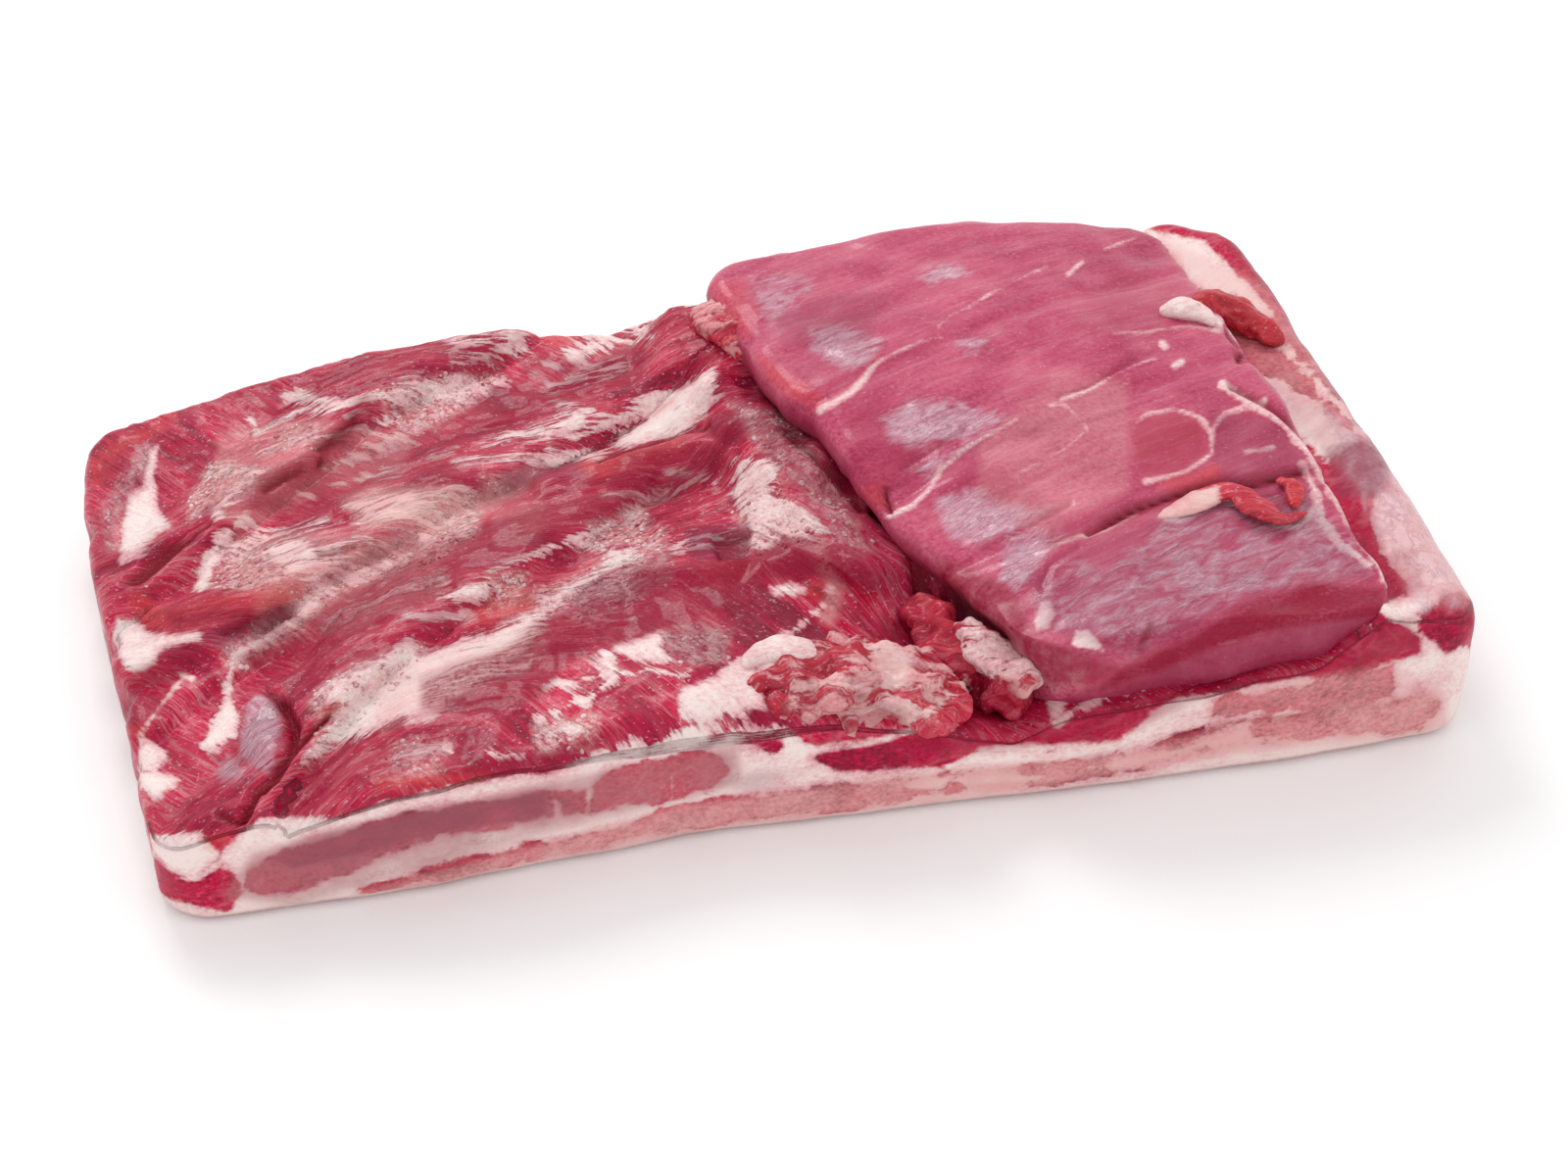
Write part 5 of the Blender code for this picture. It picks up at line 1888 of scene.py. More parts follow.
@dataclass(frozen=True)
class MeatFinish:
    """Raw meat: lean with fibres and threads, fat, granular beds, film and clefts, with painted sheen and
    shade.
    """

    name: str
    tones: tuple[Colour, ...]
    fat_tones: tuple[Colour, ...] = (linear(216, 142, 152), linear(234, 192, 193), linear(243, 226, 221))
    # film colour, laid on with painted sheen; gleam is the colour of painted highlights
    film: Colour = linear(214, 176, 192)
    gleam: Colour = linear(240, 224, 234)
    deep: Colour = linear(144, 0, 46)
    # colour of the painted shade in clefts and hollows
    cleft: Colour = linear(120, 2, 26)
    warm: Colour = linear(208, 66, 56)
    pale: Colour = linear(224, 164, 162)
    mauve: Colour = linear(122, 42, 70)
    fibre: tuple[float, float, float] = (12.0, 1.4, 9.0)
    contrast: float = 0.42
    blotches: float = 1.1
    threads: float = 0.22
    feather: float = 1.0
    relief: float = 1.0
    wetness: float = 0.34
    scatter: float = 0.08
    sparkle: float = 0.3
    sparkle_edge: Point = (0.15, 0.23)
    crumb_share: float = 0.6
    crack_share: float = 0.5
    fat_edge: Point = (-0.5, 0.7)
    fat_share: float = 0.96
    lip_edge: Point = (-0.6, 1.4)
    film_share: float = 0.62
    wrinkle_shade_share: float = 0.4
    gleam_share: float = 0.6
    tint_shares: tuple[tuple[str, float], ...] = (
        ("pale", 0.8), ("mauve", 0.55), ("warm", 0.5), ("deep", 0.8)
    )
    cleft_share: float = 0.95

    def material(self) -> bpy.types.Material:
        """Build the material."""
        sheet = Sheet(self.name)
        cut = sheet.attribute("cut")
        fibre = sheet.noise(self.fibre, detail=3.0, rough=0.6, bend=0.3)
        hair = sheet.noise(tuple(length * 0.55 for length in self.fibre), rough=0.6, bend=0.2, shift=9.0)
        blotch = sheet.noise((22.0, 15.0, 14.0), bend=0.3, shift=5.0)
        grit = sheet.noise((1.3, 1.1, 1.0), detail=3.0, rough=0.7, shift=3.0, free=True)
        colour = self.lean_colour(sheet, fibre, hair, blotch, grit, cut)
        colour, thread = self.threaded(sheet, colour, blotch, cut)
        colour, bed = self.bedded(sheet, colour, grit)
        fat_share, fat_edge = self.fat_shares(sheet, fibre, hair, grit)
        colour = sheet.mix(fat_share, colour, self.fat_colour(sheet, blotch, hair, grit))
        # painted sparkles: tiny white dots of painted highlight on the lean
        painted_sparkles = sheet.noise((1.1, 0.8, 0.8), detail=1.0, shift=33.0, free=True).step(*self.sparkle_edge)
        colour = sheet.mix(painted_sparkles * (1.0 - cut) * self.sparkle, colour, self.gleam)
        colour, film = self.filmed(sheet, colour)
        colour = self.tinted(sheet, colour, fibre, grit)
        lean_share = 1.0 - fat_share
        fleck = sheet.noise((0.8, 0.7, 0.7), rough=0.6, shift=2.0, free=True)
        rough = 0.46 - 0.14 * film - 0.06 * lean_share * (1.0 - cut) + 0.5 * grit
        coat = self.wetness * (0.35 + 0.65 * lean_share) * (1.0 - 0.6 * cut) + 0.45 * film
        coat = (coat * (0.75 + 2.2 * fleck)).share() * (1.0 - sheet.attribute("cleft"))
        height = 0.4 * fibre + 0.22 * hair * lean_share + 0.2 * grit + 0.14 * fleck + bed * 0.5 * grit
        height = (height * (1.0 - 0.5 * cut) + thread * 0.12 + fat_edge * 0.3) * self.relief
        height = height + film * sheet.noise((5.0, 1.5, 1.8), bend=1.0, shift=4.0).ridge() * 0.35
        sheet.finish(colour, rough, coat, height)
        self.set_constants(sheet)
        return sheet.material

    def set_constants(self, sheet: Sheet) -> None:
        """Set what is the same all over the surface.

        Args:
            sheet: Node sheet of the finish.
        """
        inputs = sheet.shader.inputs
        inputs["Subsurface Weight"].default_value = self.scatter
        inputs["Subsurface Radius"].default_value = (1.0, 0.35, 0.25)
        inputs["Subsurface Scale"].default_value = 3.0 * MM
        inputs["IOR"].default_value = 1.36
        inputs["Specular IOR Level"].default_value = 0.2
        inputs["Coat Roughness"].default_value = 0.12
        inputs["Coat IOR"].default_value = 1.4

    def lean_colour(
        self, sheet: Sheet, fibre: Wire, hair: Wire, blotch: Wire, grit: Wire, cut: Wire
    ) -> bpy.types.NodeSocket:
        """Lean: darker and lighter fibres in slow blotches.

        Args:
            sheet: Node sheet of the finish.
            fibre: Noise along the fibres.
            hair: Finer noise along the fibres.
            blotch: Slow noise.
            grit: Fine grains.
            cut: 1 where fibres are cut across.

        Returns:
            The colour.
        """
        lines = (fibre * 1.3 + hair * 1.2) * (1.0 - 0.55 * cut)
        tone = 0.32 + lines * self.contrast + blotch * self.blotches + grit * (0.6 + cut)
        places = np.linspace(0.08, 0.92, len(self.tones))
        return sheet.ramp(tone, *zip(places.tolist(), self.tones))

    def threaded(
        self, sheet: Sheet, colour: object, blotch: Wire, cut: Wire
    ) -> tuple[bpy.types.NodeSocket, Wire]:
        """Thin white threads between the fibres.

        Args:
            sheet: Node sheet of the finish.
            colour: Colour so far.
            blotch: Slow noise.
            cut: 1 where fibres are cut across.

        Returns:
            The new colour, and where the threads are.
        """
        length, width, height = self.fibre
        coarse = sheet.noise((length * 1.6, width * 1.5, height * 1.5), bend=0.5, shift=13.0).ridge()
        fine = sheet.noise((length * 0.8, width * 0.7, height), detail=1.0, bend=0.3, shift=17.0).ridge()
        where = blotch.step(-0.12, 0.12) * (1.0 - 0.6 * cut)
        thread = (coarse.step(0.9, 0.99) + 0.7 * fine.step(0.9, 1.0)) * where * self.threads
        return sheet.mix(thread.share(), colour, self.fat_tones[1]), thread

    def bedded(self, sheet: Sheet, colour: object, grit: Wire) -> tuple[bpy.types.NodeSocket, Wire]:
        """Granular beds: crumbs of fat with rosy cracks between them.

        Args:
            sheet: Node sheet of the finish.
            colour: Colour so far.
            grit: Fine grains.

        Returns:
            The new colour, and where the beds are.
        """
        bed = sheet.attribute("grain")
        clump = sheet.noise((3.4, 2.2, 2.2), rough=0.6, bend=0.6, shift=21.0)
        crumbs = (bed * (0.7 + clump * 2.6 + grit * 2.4)).share()
        crumb = sheet.ramp(clump + grit + 0.5, *zip((0.2, 0.42, 0.66), self.fat_tones))
        colour = sheet.mix(crumbs * self.crumb_share, colour, crumb)
        gaps = sheet.noise((2.2, 1.6, 1.6), detail=1.0, bend=1.2, shift=27.0).ridge().step(0.88, 1.0)
        return sheet.mix(bed * gaps * self.crack_share, colour, self.warm), bed

    def fat_shares(self, sheet: Sheet, fibre: Wire, hair: Wire, grit: Wire) -> tuple[Wire, Wire]:
        """Share of fat, and a lip along its edge.

        Args:
            sheet: Node sheet of the finish.
            fibre: Noise along the fibres.
            hair: Finer noise along the fibres.
            grit: Fine grains.

        Returns:
            The share, and the lip, each from 0 to 1.
        """
        length, width, height = self.fibre
        lengths = (length * 0.9, width * 2.6, height)
        fringe = sheet.noise(lengths, detail=3.0, rough=0.6, bend=0.3, shift=31.0)
        ragged = (fringe * 11.0 + fibre * 3.0 + hair * 1.3 + grit * 1.6) * self.feather
        reach = sheet.attribute("fat") + sheet.attribute("fray") * ragged
        return reach.step(*self.fat_edge) * self.fat_share, reach.step(*self.lip_edge)

    def fat_colour(self, sheet: Sheet, blotch: Wire, hair: Wire, grit: Wire) -> bpy.types.NodeSocket:
        """Fat: cream, with pink where it is thin."""
        inside = sheet.attribute("fat").step(-1.2, 3.0)
        tone = 0.2 + inside * 0.56 + blotch * 1.2 + grit * 1.5 + hair * 0.6
        return sheet.ramp(tone, *zip((0.0, 0.42, 0.85), self.fat_tones))

    def filmed(self, sheet: Sheet, colour: object) -> tuple[bpy.types.NodeSocket, Wire]:
        """Film that lies in crinkles, its lilac gleam painted in as sheen and highlights.

        Args:
            sheet: Node sheet of the finish.
            colour: Colour so far.

        Returns:
            The new colour, and how much film and painted sheen there is.
        """
        crinkle = sheet.noise((9.0, 3.0, 4.0), detail=3.0, rough=0.6, bend=1.2, shift=6.0)
        creases = sheet.noise((7.0, 1.6, 2.0), rough=0.55, bend=0.8, shift=8.0).ridge().step(0.8, 1.0)
        painted = sheet.attribute("film")
        film = (painted * 1.3 + crinkle * 3.0 - 0.2).share() * painted.step(0.0, 0.6)
        colour = sheet.mix((film * self.film_share).share(), colour, self.film)
        # dark wrinkle lines in the film, painted in mauve as shade
        wrinkle_shade = sheet.noise((6.0, 1.7, 2.2), detail=3.0, rough=0.6, bend=1.6, shift=41.0).ridge()
        wrinkle_shade = wrinkle_shade.step(0.84, 0.98)
        colour = sheet.mix((wrinkle_shade * painted * self.wrinkle_shade_share).share(), colour, self.mauve)
        # painted highlights: glints on the film and gleaming creases
        glints = sheet.noise((4.0, 1.2, 2.0), detail=3.0, rough=0.6, bend=1.6, shift=14.0).step(0.04, 0.16)
        gleam = (creases * 0.7 + glints * film) * (painted * 0.8 + 0.1) * crinkle.step(-0.1, 0.25)
        return sheet.mix((gleam * self.gleam_share).share(), colour, self.gleam), film + gleam * 0.5

    def tinted(self, sheet: Sheet, colour: object, fibre: Wire, grit: Wire) -> bpy.types.NodeSocket:
        """Painted tints, the darkest last, with the painted shade of clefts over all.

        Args:
            sheet: Node sheet of the finish.
            colour: Colour so far.
            fibre: Noise along the fibres.
            grit: Fine grains.

        Returns:
            The new colour.
        """
        uneven = 1.0 + 1.6 * fibre + 1.6 * grit
        for name, share in self.tint_shares:
            painted = sheet.attribute(name) * uneven
            colour = sheet.mix((painted * share).share(), colour, getattr(self, name))
        # painted shade in clefts and hollows goes on last
        return sheet.mix(sheet.attribute("cleft") * self.cleft_share, colour, self.cleft)


# Lean from its darkest fibres to its lightest.
RIB_TONES = (
    linear(128, 0, 40),
    linear(172, 4, 58),
    linear(196, 16, 66),
    linear(214, 66, 98),
    linear(232, 152, 162),
)
FLANK_TONES = (
    linear(158, 38, 74),
    linear(184, 66, 100),
    linear(198, 86, 114),
    linear(208, 108, 130),
    linear(222, 138, 156),
)


# -------------------------------------------------------------------- pieces

def add_object(name: str, data: bpy.types.Mesh, material: bpy.types.Material) -> bpy.types.Object:
    """Make an object in the scene.

    Args:
        name: Name of the piece.
        data: Its mesh, in place.
        material: Its finish.

    Returns:
        The object, shaded smooth.
    """
    data.materials.clear()
    data.materials.append(material)
    data.shade_smooth()
    piece = bpy.data.objects.new(name, data)
    bpy.context.scene.collection.objects.link(piece)
    return piece


def declare(piece: bpy.types.Object) -> None:
    """Tell the frame what a finished piece is, and report it.

    Args:
        piece: The finished piece.
    """
    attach(piece, BODY)
    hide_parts(NODE)
    LOG.info("%s: %d vertices, %d faces", piece.name, len(piece.data.vertices), len(piece.data.polygons))


def finish_piece(
    name: str, data: bpy.types.Mesh, points: np.ndarray, fields: Fields, material: bpy.types.Material
) -> bpy.types.Object:
    """Make a piece of a painted mesh.

    Args:
        name: Name of the piece.
        data: Its mesh.
        points: Where its vertices go.
        fields: The painted values on them.
        material: Its finish.

    Returns:
        The piece, declared to the frame.
    """
    move_vertices(data, points)
    store_fields(data, fields)
    piece = add_object(name, data, material)
    declare(piece)
    return piece


@dataclass(frozen=True)
class Bounds:
    """The box that the meat has to stay in."""

    low: np.ndarray
    high: np.ndarray

    @staticmethod
    def of_solid() -> "Bounds":
        """The box of the solid."""
        low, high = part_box(NODE)
        return Bounds(np.array(low), np.array(high))

    def shift_for(self, points: np.ndarray) -> np.ndarray:
        """Move in the plan that centres points on the box."""
        middle = (points.min(axis=0) + points.max(axis=0)) / 2
        shift = (self.low + self.high) / 2 - middle
        return np.array((shift[0], shift[1], 0.0))

    def hold(self, points: np.ndarray) -> np.ndarray:
        """Keep points inside the box."""
        return np.clip(points, self.low, self.high)


@dataclass(frozen=True)
class Slab:
    """The slab: rib side, cut walls and underside."""

    block: SlabBlock
    shift: np.ndarray
    bounds: Bounds
    fat_lift: float = 0.45 * MM
    fibre_lift: float = 0.4 * MM
    lump_lift: float = 0.7 * MM
    small_lift: float = 0.3 * MM
    grain_lift: float = 0.5 * MM
    settle: float = 0.5 * MM
    wall_edge: Point = (0.75, 0.35)
    front_edge: Point = (-60 * MM, -76 * MM)
    flank_edge: Point = (120 * MM, 134 * MM)
    flank_cut: float = 0.7
    flank_calm: float = 0.55
    hidden_pale: float = 0.5
    hidden_mauve: float = 0.35
    hidden_fray: float = 0.4
    plain_fat: float = 6.0
    hidden_bands: tuple[Point, ...] = ((7.5, 11.0), (16.0, 25.0))

    def build(self, surface: Surface, material: bpy.types.Material) -> bpy.types.Object:
        """Make the slab from its plain surface.

        Args:
            surface: Surface of the block.
            material: Finish of the meat.

        Returns:
            The piece.
        """
        surface.points += self.shift
        data = surface.mesh("slab")
        points, normals = mesh_arrays(data)
        on_wall = smooth(*self.wall_edge, normals[:, 2])
        hidden = on_wall * (1.0 - VIEW.facing(points, normals))
        walls = np.maximum(on_wall * smooth(*self.front_edge, points[:, 1]), hidden)
        flank = smooth(*self.flank_edge, points[:, 0] - self.shift[0])
        fields = Fields(points, normals, Barbs().space(points - self.shift, walls))
        fields.cut = np.maximum(walls, self.flank_cut * flank)
        fields.tints[Mark.PALE] += self.hidden_pale * hidden
        fields.tints[Mark.MAUVE] += self.hidden_mauve * hidden
        fields.fray -= self.hidden_fray * hidden
        fields.paint(RIB_SIDE_MARKS + RIB_END_MARKS + FRONT_WALL_MARKS + FLANK_END_MARKS)
        fields.blend_fat(self.hidden_layers(points))
        under = surface.side == UNDERNEATH
        fields.fat = np.where(under, self.plain_fat, fields.fat)
        lift = self.relief(points, normals, fields) * np.where(under, 0.0, 1.0 - self.flank_calm * flank)
        lift *= smooth(0.0, 4 * MM, points[:, 2])
        places = self.bounds.hold(points + normals * lift[:, None])
        return finish_piece("belly_slab", data, places, fields, material)

    def hidden_layers(self, points: np.ndarray) -> np.ndarray:
        """Layers of fat and lean on the back and flank sides, in mm inside the fat.

        Args:
            points: Places, one row each.

        Returns:
            The distance inside the fat at each place.
        """
        sway = 1.6 * streaks(points, (45.0, 45.0, 30.0), shift=4.0)
        sway += 0.8 * streaks(points, (12.0, 12.0, 9.0), shift=9.0)
        level = points[:, 2] / MM + sway
        top = self.block.top(points[:, 0] - self.shift[0], points[:, 1] - self.shift[1]) / MM
        value = np.full(len(points), self.plain_fat)
        for low, high in self.hidden_bands:
            value = np.minimum(value, np.maximum(low - level, level - high))
        return np.minimum(value, np.abs(level - top * 0.93) - 1.5)

    def relief(self, points: np.ndarray, normals: np.ndarray, fields: Fields) -> np.ndarray:
        """How far the surface stands out from the plain block.

        Args:
            points: Places, one row each.
            normals: Outward directions, one row each.
            fields: Values painted on its vertices.

        Returns:
            The height along each direction, in metres.
        """
        on_top = smooth(0.3, 0.7, normals[:, 2])
        fringe = 1.4 * streaks(fields.fibres, (8.0, 1.8, 3.0), shift=2.0)
        fatness = smooth(-0.6, 1.8, fields.fat + fields.fray * fringe)
        bundles = streaks(fields.fibres, (18.0, 6.0, 9.0), shift=6.0)
        fibres = streaks(fields.fibres, (12.0, 3.0, 9.0), shift=7.0)
        lumps = streaks(points, (9.0, 7.0, 6.0), shift=11.0)
        small = streaks(points, (3.0, 2.6, 3.0), shift=17.0)
        grain = fields.tints[Mark.GRAIN]
        calmer = 0.35 + 0.65 * on_top
        lift = fatness * self.fat_lift * calmer * (1.0 - 0.5 * fields.cut)
        lift += self.fibre_lift * (1.4 * bundles + 0.5 * fibres) * on_top * (1.0 - 0.7 * grain)
        lift += (self.lump_lift * lumps + self.small_lift * small) * calmer - self.settle
        lift += self.grain_lift * small * grain
        return lift + (fields.rise - fields.sink) * MM


@dataclass(frozen=True)
class Flap:
    """The flap of flank muscle."""

    block: FlapBlock
    shift: np.ndarray
    bounds: Bounds
    fibre_turn: float = 20.0
    wall_edge: Point = (0.6, 0.25)
    wall_cut: float = 0.5
    rim_edge: Point = (14 * MM, 5 * MM)
    rim_cut: float = 0.7
    free_edge: Point = (64 * MM, 44 * MM)
    under_edge_shade_mauve: float = 0.5
    under_edge_shade_deep: float = 0.35

    def build(self, surface: Surface, material: bpy.types.Material) -> bpy.types.Object:
        """Make the flap from its plain surface.

        Args:
            surface: Surface of the block.
            material: Finish of the meat.

        Returns:
            The piece.
        """
        surface.points += self.shift
        data = surface.mesh("flap")
        points, normals = mesh_arrays(data)
        fields = Fields(points, normals, turned(points, self.fibre_turn))
        on_wall = smooth(*self.wall_edge, normals[:, 2])
        edge = points[:, 0] - self.shift[0] - self.block.left(points[:, 1] - self.shift[1])
        fields.cut = np.maximum(on_wall * self.wall_cut, self.rim_cut * smooth(*self.rim_edge, edge))
        # painted shade on the undercut wall below the free edge, in mauve and deep tints
        free = on_wall * smooth(*self.free_edge, points[:, 0] - self.shift[0])
        fields.tints[Mark.MAUVE] += self.under_edge_shade_mauve * free
        fields.tints[Mark.DEEP] += self.under_edge_shade_deep * free
        fields.paint(FLAP_MARKS)
        hidden = np.abs(streaks(points, (60.0, 60.0, 9.0), shift=3.0)) * 12.0
        fields.blend_fat(0.8 - hidden)
        fatness = smooth(-0.5, 0.9, fields.fat)
        film = fields.tints[Mark.FILM_AND_SHEEN]
        lift = 0.3 * fatness + 0.6 * streaks(points, (16.0, 9.0, 9.0), turn=self.fibre_turn, shift=5.0)
        fine = streaks(points, (5.0, 2.4, 3.0), turn=self.fibre_turn, shift=8.0)
        lift += 0.22 * fine * (0.4 + film) - 0.45
        lift += fields.rise - fields.sink
        places = self.bounds.hold(points + normals * (lift * MM)[:, None])
        return finish_piece("flank_flap", data, places, fields, material)


@dataclass(frozen=True)
class Strand:
    """A ragged bit of meat or fat swept along a bent line.

    Each step of the path gives its place, half width and half thickness in mm.
    """

    name: str
    path: tuple[tuple[float, float, float, float, float], ...]
    fatness: float
    warm: float = 0.0
    deep: float = 0.0
    ragged: float = 0.2
    rings: int = 72
    corners: int = 48
    fibre_turn: float = -12.0

    def spine(self) -> np.ndarray:
        """The path as a smooth line with one row for each ring."""
        nodes = np.array((self.path[0], *self.path, self.path[-1]), float)
        places = (1.0 - np.cos(np.linspace(0.0, math.pi, self.rings))) / 2.0 * (len(self.path) - 1)
        index = np.minimum(places.astype(int), len(self.path) - 2)
        t = (places - index)[:, None]
        a, b, c, d = (nodes[index + step] for step in range(4))
        square, cube = 2.0 * a - 5.0 * b + 4.0 * c - d, 3.0 * (b - c) + d - a
        return 0.5 * (2.0 * b + (c - a) * t + square * t**2 + cube * t**3)

    def surface(self) -> Surface:
        """Rings around the path, closed at both ends."""
        spine = self.spine()
        ahead = np.gradient(spine[:, :3], axis=0)
        ahead /= np.linalg.norm(ahead, axis=1, keepdims=True)
        across = np.cross(ahead, (0.0, 0.0, 1.0))
        across /= np.linalg.norm(across, axis=1, keepdims=True)
        above = np.cross(across, ahead)
        ends = np.sin(np.linspace(0.0, math.pi, self.rings)) ** 0.6
        angles = np.linspace(0.0, 2.0 * math.pi, self.corners, endpoint=False)
        rows = []
        for place, side, up, end in zip(spine, across, above, ends):
            wide, thick = place[3] * max(end, 0.02), place[4] * max(end, 0.02)
            ring = wide * np.cos(angles)[:, None] * side + thick * np.sin(angles)[:, None] * up
            bulge = swells(*(ring / 5.0 + place[:3] / 6.0).T, 1.0, (0.3, 1.7, 2.9))
            rows.append(place[:3] + ring * (1.0 + self.ragged * 1.6 * bulge)[:, None])
        points = np.vstack(rows) * MM
        count = self.corners
        faces = []
        for row in range(self.rings - 1):
            low = np.arange(count) + row * count
            after = np.roll(low, -1)
            faces += zip(*(a.tolist() for a in (low, low + count, after + count, after)))
        faces.append(tuple(range(count)))
        faces.append(tuple(reversed(range((self.rings - 1) * count, self.rings * count))))
        return Surface(points, faces, np.zeros(len(points)))

    def build(self, shift: np.ndarray, bounds: Bounds, material: bpy.types.Material) -> bpy.types.Object:
        """Make the piece.

        Args:
            shift: Move from the slab's frame to the part's.
            bounds: Box that the piece stays in.
            material: Its finish.

        Returns:
            The piece.
        """
        surface = self.surface()
        surface.points += shift
        data = surface.mesh(self.name)
        points, normals = mesh_arrays(data)
        fields = Fields(points, normals, turned(points, self.fibre_turn))
        fields.fat[:] = self.fatness
        fields.tints[Mark.WARM][:] = self.warm
        fields.tints[Mark.DEEP][:] = self.deep
        fields.paint(TRIMMING_MARKS)
        lift = 4.0 * streaks(points, (6.0, 4.0, 4.0), shift=3.0)
        lift += 2.2 * streaks(points, (2.6, 2.0, 2.0), shift=7.0)
        places = bounds.hold(points + normals * (lift * self.ragged * MM)[:, None])
        return finish_piece(self.name, data, places, fields, material)


STRANDS = (
    Strand(
        "front_chunk",
        (
            (-17, -65, 26, 7, 5), (-4, -68, 29, 12, 7), (12, -70, 29, 13, 8), (28, -72, 27, 9, 7),
            (37, -73, 24, 4, 4),
        ),
        fatness=-0.1, warm=0.45, ragged=0.42,
    ),
    Strand(
        "front_chunk_end",
        ((18, -72, 25, 6, 6), (28, -77, 25, 8, 6), (36, -78, 24, 5, 5)),
        fatness=-1.4, warm=0.4, ragged=0.4,
    ),
    Strand(
        "corner_scrap",
        ((40, -66, 20, 3, 3), (45, -73, 23, 5, 5), (51, -77, 24, 4, 5)),
        fatness=-2.6, warm=0.2, deep=0.5, ragged=0.4,
    ),
    Strand(
        "front_fat",
        ((-13, -62, 33, 2.5, 2), (-7, -61, 35, 4.2, 3.2), (1, -63, 35, 4, 3), (5, -67, 33, 2.5, 2)),
        fatness=4.0, ragged=0.1,
    ),
    Strand(
        "corner_lean",
        ((31, -44, 30, 4, 4), (35, -53, 29, 6, 5), (37, -62, 27, 6, 5.5), (39, -70, 25, 4, 4)),
        fatness=-4.0, warm=0.4, deep=0.3, ragged=0.4,
    ),
    Strand(
        "flap_corner_fat",
        (
            (40, -58, 34, 5, 3), (43, -64, 31.4, 5.4, 3.4), (46, -70, 29, 4.4, 3),
            (50, -76, 29.6, 5, 3.4), (54, -77, 29, 3.4, 3),
        ),
        fatness=0.8, ragged=0.36,
    ),
    Strand(
        "centre_blob",
        ((-4, 31, 34, 4, 4), (2, 34, 35.5, 5.5, 5), (7, 37, 34, 3.5, 3.5)),
        fatness=-5.0, warm=0.3, deep=0.8, ragged=0.1,
    ),
    Strand(
        "flap_corner_lump",
        ((5, 72, 43, 5, 4), (7, 64, 46, 7, 5), (10, 54, 48.5, 6, 4.5), (12, 44, 46, 3.5, 3)),
        fatness=-0.4, warm=0.6, ragged=0.3,
    ),
    Strand(
        "flap_petal",
        (
            (91, -46, 46, 1.5, 0.8), (100, -43.5, 47, 4, 1.2), (108, -41, 47.4, 3.4, 1.3),
            (112, -43, 48, 3.2, 1.3), (115, -49, 47.6, 4, 1.4), (120, -53, 46.4, 3, 1.2),
            (127, -51, 45.6, 1.4, 0.8),
        ),
        fatness=-1.6, warm=0.6, ragged=0.1,
    ),
    Strand(
        "flap_leaf",
        ((125, -37, 45.5, 1.2, 0.8), (127, -42, 47, 2.4, 1), (124.5, -49, 46.4, 1.4, 0.8)),
        fatness=-3.0, warm=0.9,
    ),
    Strand(
        "back_scrap",
        (
            (129, 36, 51, 4, 3), (136, 38, 49, 5, 3.5), (143, 37, 45.5, 5, 3.5), (148, 31, 43.5, 4, 3),
            (150, 25, 42.5, 4.5, 3),
        ),
        fatness=-3.0, warm=0.8,
    ),
    Strand(
        "back_fat",
        (
            (119, 33, 51.5, 2.5, 2), (124, 31.5, 53, 3.5, 2.6), (129, 28, 52.5, 3, 2.2),
            (131, 24, 51.5, 2, 1.6),
        ),
        fatness=3.0, ragged=0.15,
    ),
)


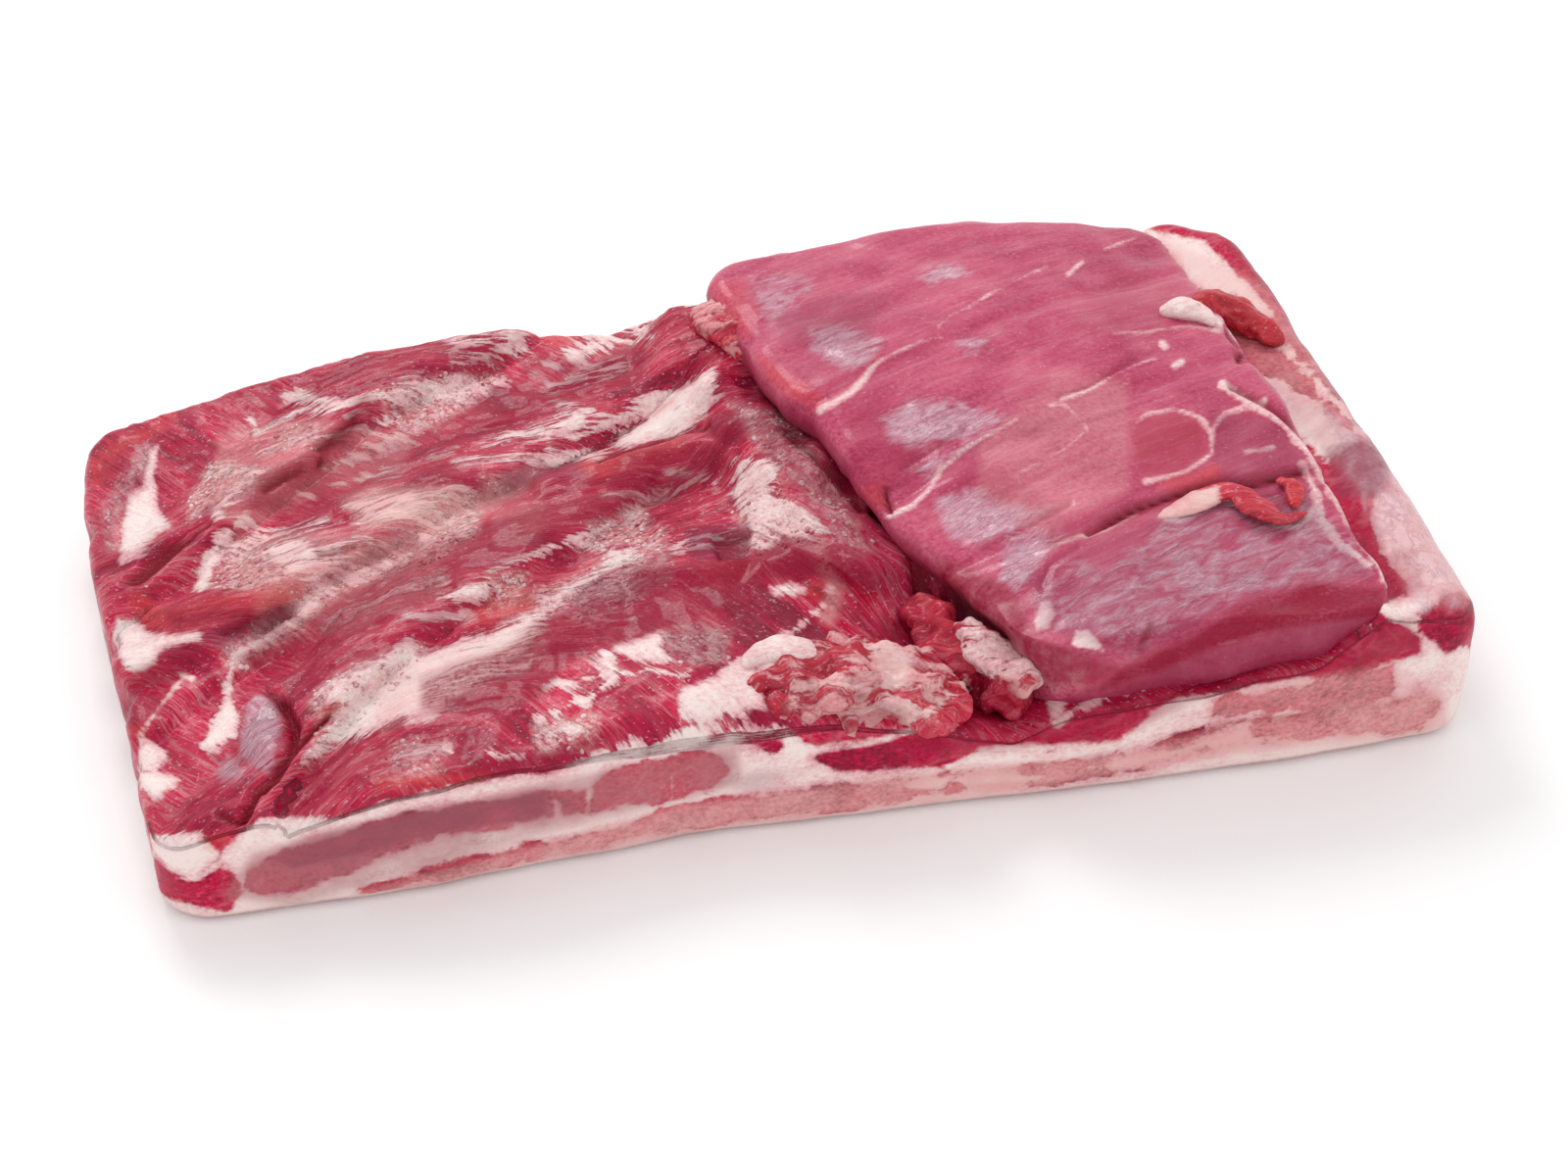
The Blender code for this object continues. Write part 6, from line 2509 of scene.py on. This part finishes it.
@dataclass(frozen=True)
class Crumbs:
    """Crumbs of fat that lie on the granular beds of a piece."""

    name: str
    density: float = 2.0e5
    seed: int = 11
    smallest: float = 0.25 * MM
    largest: float = 0.8 * MM
    flatness: float = 0.5
    fatness: float = 0.7

    INPUTS: ClassVar = (
        ("Geometry", "Geometry"), ("Density", "Float"), ("Seed", "Int"), ("Smallest", "Vector"),
        ("Largest", "Vector"), ("Fatness", "Float"), ("Material", "Material"),
    )
    NODES: ClassVar = {
        "given": ("NodeGroupInput", {}, {}),
        "done": ("NodeGroupOutput", {}, {}),
        "grain": ("GeometryNodeInputNamedAttribute", {"data_type": "FLOAT"}, {"Name": "grain"}),
        "dense": ("ShaderNodeMath", {"operation": "MULTIPLY"}, {}),
        "spread": ("GeometryNodeDistributePointsOnFaces", {}, {}),
        "ball": ("GeometryNodeMeshIcoSphere", {}, {"Radius": 1.0, "Subdivisions": 2}),
        "size": ("FunctionNodeRandomValue", {"data_type": "FLOAT_VECTOR"}, {}),
        "place": ("GeometryNodeInstanceOnPoints", {}, {}),
        "real": ("GeometryNodeRealizeInstances", {}, {}),
        "store": ("GeometryNodeStoreNamedAttribute", {"data_type": "FLOAT"}, {"Name": "fat"}),
        "coat": ("GeometryNodeSetMaterial", {}, {}),
    }
    LINKS: ClassVar = (
        ("grain", "Attribute", "dense", 0), ("given", "Density", "dense", 1),
        ("given", "Geometry", "spread", "Mesh"), ("dense", 0, "spread", "Density"),
        ("given", "Seed", "spread", "Seed"), ("given", "Smallest", "size", 0),
        ("given", "Largest", "size", 1), ("given", "Seed", "size", "Seed"),
        ("spread", "Points", "place", "Points"), ("spread", "Rotation", "place", "Rotation"),
        ("ball", "Mesh", "place", "Instance"), ("size", 0, "place", "Scale"), ("place", 0, "real", 0),
        ("real", 0, "store", "Geometry"), ("given", "Fatness", "store", "Value"),
        ("store", 0, "coat", "Geometry"), ("given", "Material", "coat", "Material"),
        ("coat", 0, "done", 0),
    )

    @staticmethod
    def node(
        tree: bpy.types.GeometryNodeTree, kind: str, settings: Mapping[str, object],
        sockets: Mapping[str, object],
    ) -> bpy.types.Node:
        """Add a node with its properties and the values of its inputs.

        Args:
            tree: The node group.
            kind: Type name of the node.
            settings: Values of its properties.
            sockets: Values of its inputs.

        Returns:
            The node.
        """
        made = tree.nodes.new(kind)
        for name, value in settings.items():
            setattr(made, name, value)
        for name, value in sockets.items():
            made.inputs[name].default_value = value
        return made

    def tree(self) -> bpy.types.GeometryNodeTree:
        """Nodes that scatter crumbs where a surface is granular."""
        tree = bpy.data.node_groups.new(self.name, "GeometryNodeTree")
        for label, kind in self.INPUTS:
            tree.interface.new_socket(label, in_out="INPUT", socket_type=f"NodeSocket{kind}")
        tree.interface.new_socket("Geometry", in_out="OUTPUT", socket_type="NodeSocketGeometry")
        made = {name: self.node(tree, *asked) for name, asked in self.NODES.items()}
        for start, output, end, inlet in self.LINKS:
            tree.links.new(made[start].outputs[output], made[end].inputs[inlet])
        return tree

    def build(
        self, ground: bpy.types.Object, bounds: Bounds, material: bpy.types.Material
    ) -> bpy.types.Object:
        """Scatter crumbs over a piece.

        Args:
            ground: Piece that they lie on.
            bounds: Box that they stay in.
            material: Their finish.

        Returns:
            The crumbs, as a piece of their own.
        """
        carrier = bpy.data.objects.new(self.name, ground.data.copy())
        bpy.context.scene.collection.objects.link(carrier)
        modifier = carrier.modifiers.new("crumbs", "NODES")
        tree = self.tree()
        values = {
            "Density": self.density,
            "Seed": self.seed,
            "Smallest": (self.smallest,) * 3,
            "Largest": (self.largest, self.largest, self.largest * self.flatness),
            "Fatness": self.fatness,
            "Material": material,
        }
        modifier.node_group = tree
        for item in tree.interface.items_tree:
            if item.in_out == "INPUT" and item.name in values:
                modifier[item.identifier] = values[item.name]
        depsgraph = bpy.context.evaluated_depsgraph_get()
        data = bpy.data.meshes.new_from_object(
            carrier.evaluated_get(depsgraph), preserve_all_data_layers=True, depsgraph=depsgraph
        )
        bpy.data.objects.remove(carrier)
        points, _ = mesh_arrays(data)
        move_vertices(data, bounds.hold(points))
        piece = add_object(self.name, data, material)
        declare(piece)
        return piece


# --------------------------------------------------------------------- stage

@dataclass(frozen=True)
class Studio:
    """A white floor under soft light."""

    floor_size: float = 12.0
    floor_colour: Colour = (0.97, 0.97, 0.97)
    world_strength: float = 0.9
    key_size: float = 0.55
    key_power: float = 6.8
    key_place: tuple[float, float, float] = (-0.2, 0.95, 1.0)
    fill_size: float = 1.2
    fill_power: float = 1.2
    fill_place: tuple[float, float, float] = (0.5, -0.9, 1.1)

    def build(self) -> None:
        """Make the floor, the world and the lights."""
        bpy.context.scene.view_settings.view_transform = "Standard"
        self.floor()
        self.world()
        self.softbox("key", self.key_place, self.key_size, self.key_power)
        self.softbox("fill", self.fill_place, self.fill_size, self.fill_power)

    def floor(self) -> None:
        """Make the floor just under the meat."""
        mesh = bmesh.new()
        bmesh.ops.create_grid(mesh, x_segments=1, y_segments=1, size=self.floor_size / 2)
        bmesh.ops.translate(mesh, vec=(0.0, 0.0, -0.1 * MM), verts=mesh.verts)
        data = bpy.data.meshes.new("floor")
        mesh.to_mesh(data)
        mesh.free()
        material = bpy.data.materials.new("floor")
        material.use_nodes = True
        shader = material.node_tree.nodes["Principled BSDF"]
        shader.inputs["Base Color"].default_value = (*self.floor_colour, 1.0)
        shader.inputs["Roughness"].default_value = 0.9
        shader.inputs["Specular IOR Level"].default_value = 0.1
        data.materials.append(material)
        floor = bpy.data.objects.new("floor", data)
        bpy.context.scene.collection.objects.link(floor)

    def world(self) -> None:
        """Light everything evenly."""
        world = bpy.data.worlds.new("studio")
        world.use_nodes = True
        background = world.node_tree.nodes["Background"]
        background.inputs["Color"].default_value = (1.0, 1.0, 1.0, 1.0)
        background.inputs["Strength"].default_value = self.world_strength
        bpy.context.scene.world = world

    @staticmethod
    def softbox(name: str, place: tuple[float, float, float], size: float, power: float) -> None:
        """Hang a square light that looks at the meat.

        Args:
            name: Its name.
            place: Where the light hangs.
            size: Length of its sides.
            power: Its power in watts.
        """
        data = bpy.data.lights.new(name, "AREA")
        data.shape = "SQUARE"
        data.size = size
        data.energy = power
        light = bpy.data.objects.new(name, data)
        light.location = place
        light.rotation_euler = (-Vector(place)).to_track_quat("-Z", "Y").to_euler()
        bpy.context.scene.collection.objects.link(light)


def main() -> None:
    """Build the pieces, the studio and the camera."""
    logging.basicConfig(level=logging.INFO, format="%(name)s %(message)s")
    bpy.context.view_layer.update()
    bounds = Bounds.of_solid()
    slab_block, flap_block = SlabBlock(), FlapBlock()
    slab_surface, flap_surface = slab_block.surface(), flap_block.surface()
    shift = bounds.shift_for(np.vstack((slab_surface.points, flap_surface.points)))
    LOG.info("shift %s", shift / MM)
    rib_meat = MeatFinish("rib_meat", RIB_TONES).material()
    flank_meat = MeatFinish(
        "flank_meat", FLANK_TONES, fibre=(26.0, 3.4, 12.0), contrast=0.22, blotches=0.7, threads=0.08,
        feather=0.4, relief=0.5, wetness=0.6, sparkle=0.12,
    ).material()
    slab = Slab(slab_block, shift, bounds).build(slab_surface, rib_meat)
    Flap(flap_block, shift, bounds).build(flap_surface, flank_meat)
    for strand in STRANDS:
        strand.build(shift, bounds, rib_meat)
    Crumbs("bed_crumbs").build(slab, bounds, rib_meat)
    Studio().build()
    VIEW.camera()


if __name__ == "__main__":
    main()
